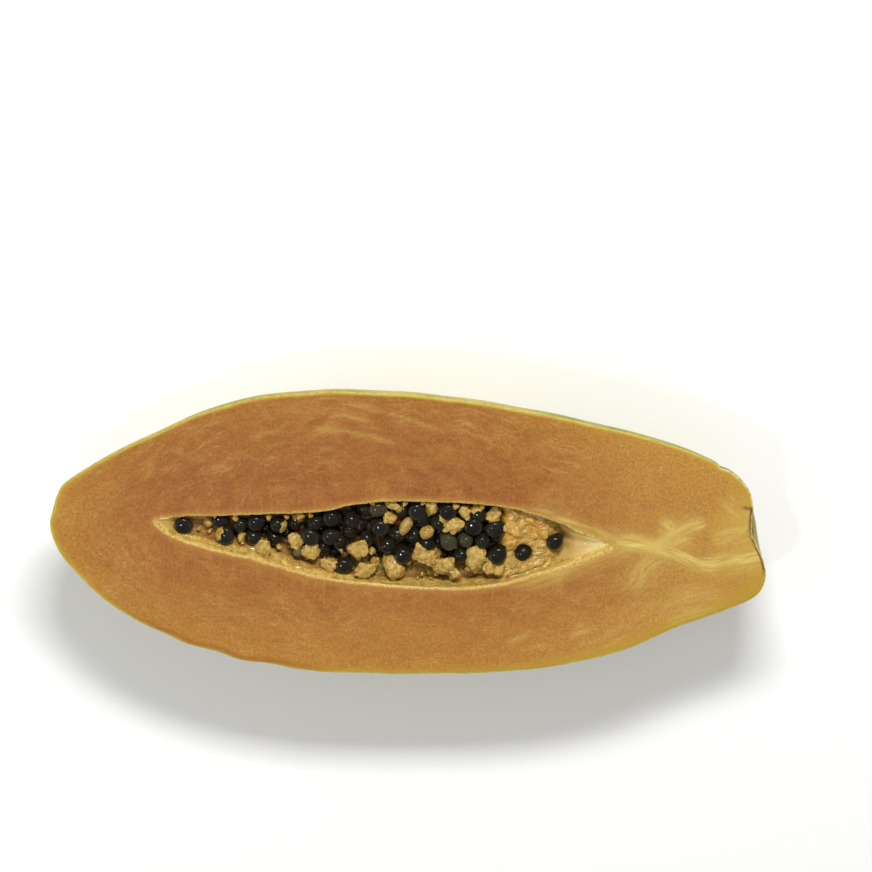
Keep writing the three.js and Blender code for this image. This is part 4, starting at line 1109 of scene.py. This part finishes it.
def pulp_crumbs():
    models = [ball(f"crumb_model_{k}", 4, crumb_shape(k), PULP) for k in range(7)]
    smooth_model = ball("round_model", 4, round_shape, PULP)
    tiny_model = ball("tiny_model", 3, crumb_shape(9), PULP)
    draw = draws(CRUMB_DRAW)
    made = []
    for k, (along, height, depth, size) in enumerate(LUMPS):
        turn = [next(draw) * math.pi for _ in range(3)]
        half = LUMP_HALF * size * 0.9
        scale = [half * (0.74 + 0.6 * next(draw)) for _ in range(3)]
        model = smooth_model if k in ROUND_LUMPS else models[k % 7]
        made.append(copy_to(model, (along, height, depth), scale, turn))
        # Painted shade on each lump's lower side, darker further down; the round lumps are darker all over
        below = -fruit_places(made[-1])[:, 2] - depth
        shade = (0.22 if k in ROUND_LUMPS else 0) + 0.5 * smooth(below, 0, 3)
        paint(made[-1], deep=shade, warm=0.8 if along > 158 and height > -8 else 0.1)
    for *place, half in CRUMBS:
        made.append(tiny_crumb(tiny_model, draw, place, half, 0.5, 0.05, 0.2))
    for _ in range(LOOSE_CRUMBS):
        along = 72 + 98 * next(draw)
        height = float(cavity_sides(along)[1]) + 1.5 + 5.5 * next(draw) ** 1.5
        depth = max(1.6, min(6.0, float(wall_depth(along, height))))
        half = 0.25 + 0.5 * next(draw) ** 2
        made.append(tiny_crumb(tiny_model, draw, (along, height, depth), half, 0.6, 0, 0.1))
    for model in (*models, smooth_model, tiny_model):
        bpy.data.objects.remove(model)
    made += [shell_on(*shell) for shell in SHELLS]
    finish(join("pulp_crumbs", made), 180, "flesh")


def bed_place(i, j):
    """The torn membrane that the seeds sit in, rising to a crumpled mound before the pocket. It
    dips under each loose seed, has a shelf along its lower side and lies low at the lower left."""
    along = BED_FROM + (BED_TO - BED_FROM) * i / BED_COLUMNS
    upper, lower = cavity_sides(along)
    half = (upper - lower) / 2 + 0.6
    off = np.cos(math.pi * j / BED_ROWS)
    height = (upper + lower) / 2 + half * off
    rise = height - lower
    wall = half * CAVITY_DEPTH * np.sqrt(np.maximum(0, 1 - off * off))
    mound = stretch(along, 155, 159, 171, 180)
    flat = np.column_stack([along, height, along * 0])
    folds = 1.3 * waves(flat, 5, 11, 3) + 0.5 * waves(flat, 1.5, 12)
    turned = np.column_stack([(along * 0.9 + height * 0.45) / 2.6, height * 0.9 - along * 0.45, along * 0])
    crumple = 1.8 * np.abs(waves(turned, 3.0, 13)) + 0.9 * np.abs(waves(turned, 1.1, 14, 1))
    crumple = crumple + 0.15 * waves(flat, 0.7, 15)
    depth = (BED_DEPTH - BED_SLOPE * height) * (1 - mound) + MOUND_DEPTH * mound
    depth = depth - folds * (1 - mound) - crumple * mound + 3 * (1 - smooth(along, 46, 60))
    for _, x, y, seed_depth in LOOSE_SEEDS:
        away = np.hypot(along - x, height - y)
        depth = depth + np.maximum(0, seed_depth + 0.4 - depth) * (1 - smooth(away, 2.8, 4.2))
    shelf = 1 - smooth(rise, 1.5, 5.5)
    depth = depth - 1.6 * shelf * (1 - mound) * (0.6 + waves(flat, 4, 16))
    depth = depth + 5 * (1 - smooth(rise, 3.5, 7)) * stretch(along, 50, 62, 90, 104)
    depth = np.maximum(np.minimum(depth, wall + 0.4 + 1.2 * smooth(along, 172, 177)), 1.0)
    return np.column_stack([along, height, -depth])


def pulp_bed():
    bed = sheet("bed", BED_COLUMNS, BED_ROWS, bed_place, PULP)
    places = fruit_places(bed)
    along, height, _ = places.T
    mound = smooth(along, 153.5, 158)
    upper, lower = cavity_sides(along)
    # Painted shade mixed with brown membrane: darker deeper down between the cavity's edges and round each
    # loose seed, less near the lower edge and on the mound
    deep_brown_and_shade = smooth(height - lower, 1.5, 6) * smooth(upper - height, 0.3, 1.6) * smooth(-places[:, 2], 4, 7)
    for _, x, y, _ in LOOSE_SEEDS:
        deep_brown_and_shade = np.maximum(deep_brown_and_shade, 0.5 * (1 - smooth(np.hypot(along - x, height - y), 2.6, 4.4)))
    deep_brown_and_shade = deep_brown_and_shade * (0.5 + 0.5 * smooth(height - lower, 5, 9))
    warm = 0.15 + 0.85 * mound * smooth(height, -9, -3) * (1 - smooth(along, 168, 177))
    paint(bed, deep=deep_brown_and_shade * (1 - 0.75 * mound), warm=warm)
    thicken(bed, 0.5, -1)
    finish(join("pulp_bed", [bed]), 180, "flesh")


half_fruit()
seeds_and_loose()
pulp_crumbs()
pulp_bed()

# Floor, light and camera

bpy.ops.mesh.primitive_plane_add(size=6, location=(0, 0, 0))
floor = bpy.context.object
floor.name = "floor"
paper, tree, _, mm = material("floor_matt_white_paper")
fine = add(tree, "TexNoise", {}, {"Vector": mm, "Scale": 1 / 0.6, "Detail": 2.0})
fine = add(tree, "MapRange", SOFT, {0: fine, 1: 0.3, 2: 0.7})
tint = add(tree, "Mix", MIX, {0: fine, 6: "#f4f4f3", 7: "#f7f7f6"})
shader = add(tree, "BsdfPrincipled", {}, {"Base Color": tint, "Roughness": 0.85})
add(tree, "OutputMaterial", {}, {"Surface": shader})
floor.data.materials.append(paper)

world = bpy.data.worlds.new("soft_studio")
bpy.context.scene.world = world
world.use_nodes = True
sky = world.node_tree.nodes["Background"]
sky.inputs["Color"].default_value = (1, 1, 1, 1)
sky.inputs["Strength"].default_value = 0.45

LIT_PLACE = (0, 0, 0.04)  # the middle of the fruit, which each light faces
# Area lights: name, place, size and power
LIGHTS = [
    ("window_above", (0.05, 0.72, 0.85), (0.38, 0.15), 10.2),
    ("small_front", (-0.22, -0.1, 1.15), (0.06, 0.06), 1.1),
    ("side_left", (-1.0, -0.3, 0.6), (0.5, 0.5), 2.5),
]
for name, place, size, power in LIGHTS:
    bpy.ops.object.light_add(type="AREA", location=place)
    light = bpy.context.object
    light.name = name
    light.data.shape = "RECTANGLE"
    light.data.size, light.data.size_y = size
    light.data.energy = power
    light.rotation_mode = "QUATERNION"
    light.rotation_quaternion = (Vector(LIT_PLACE) - Vector(place)).to_track_quat("-Z", "Y")

TILT, ROLL = math.radians(13), math.radians(2.52)
DISTANCE = 1.6
VIEW_WIDTH = 302.6 * MM  # across the picture, at the cut face
TARGET = Vector(to_frame(np.array([132.1, 31.3, 0.0])))
camera = bpy.data.objects.new("camera", bpy.data.cameras.new("camera"))
bpy.context.scene.collection.objects.link(camera)
bpy.context.scene.camera = camera
camera.data.sensor_width = 36
camera.data.lens = 36 * DISTANCE / VIEW_WIDTH
back = Vector((0, math.sin(TILT), math.cos(TILT)))
up = Vector((0, math.cos(TILT), -math.sin(TILT)))
right = up.cross(back)
up, right = up * math.cos(ROLL) - right * math.sin(ROLL), right * math.cos(ROLL) + up * math.sin(ROLL)
turned = Matrix((right, up, back)).transposed().to_4x4()
camera.matrix_world = Matrix.Translation(TARGET + back * DISTANCE) @ turned

bpy.context.scene.view_settings.view_transform = "Standard"
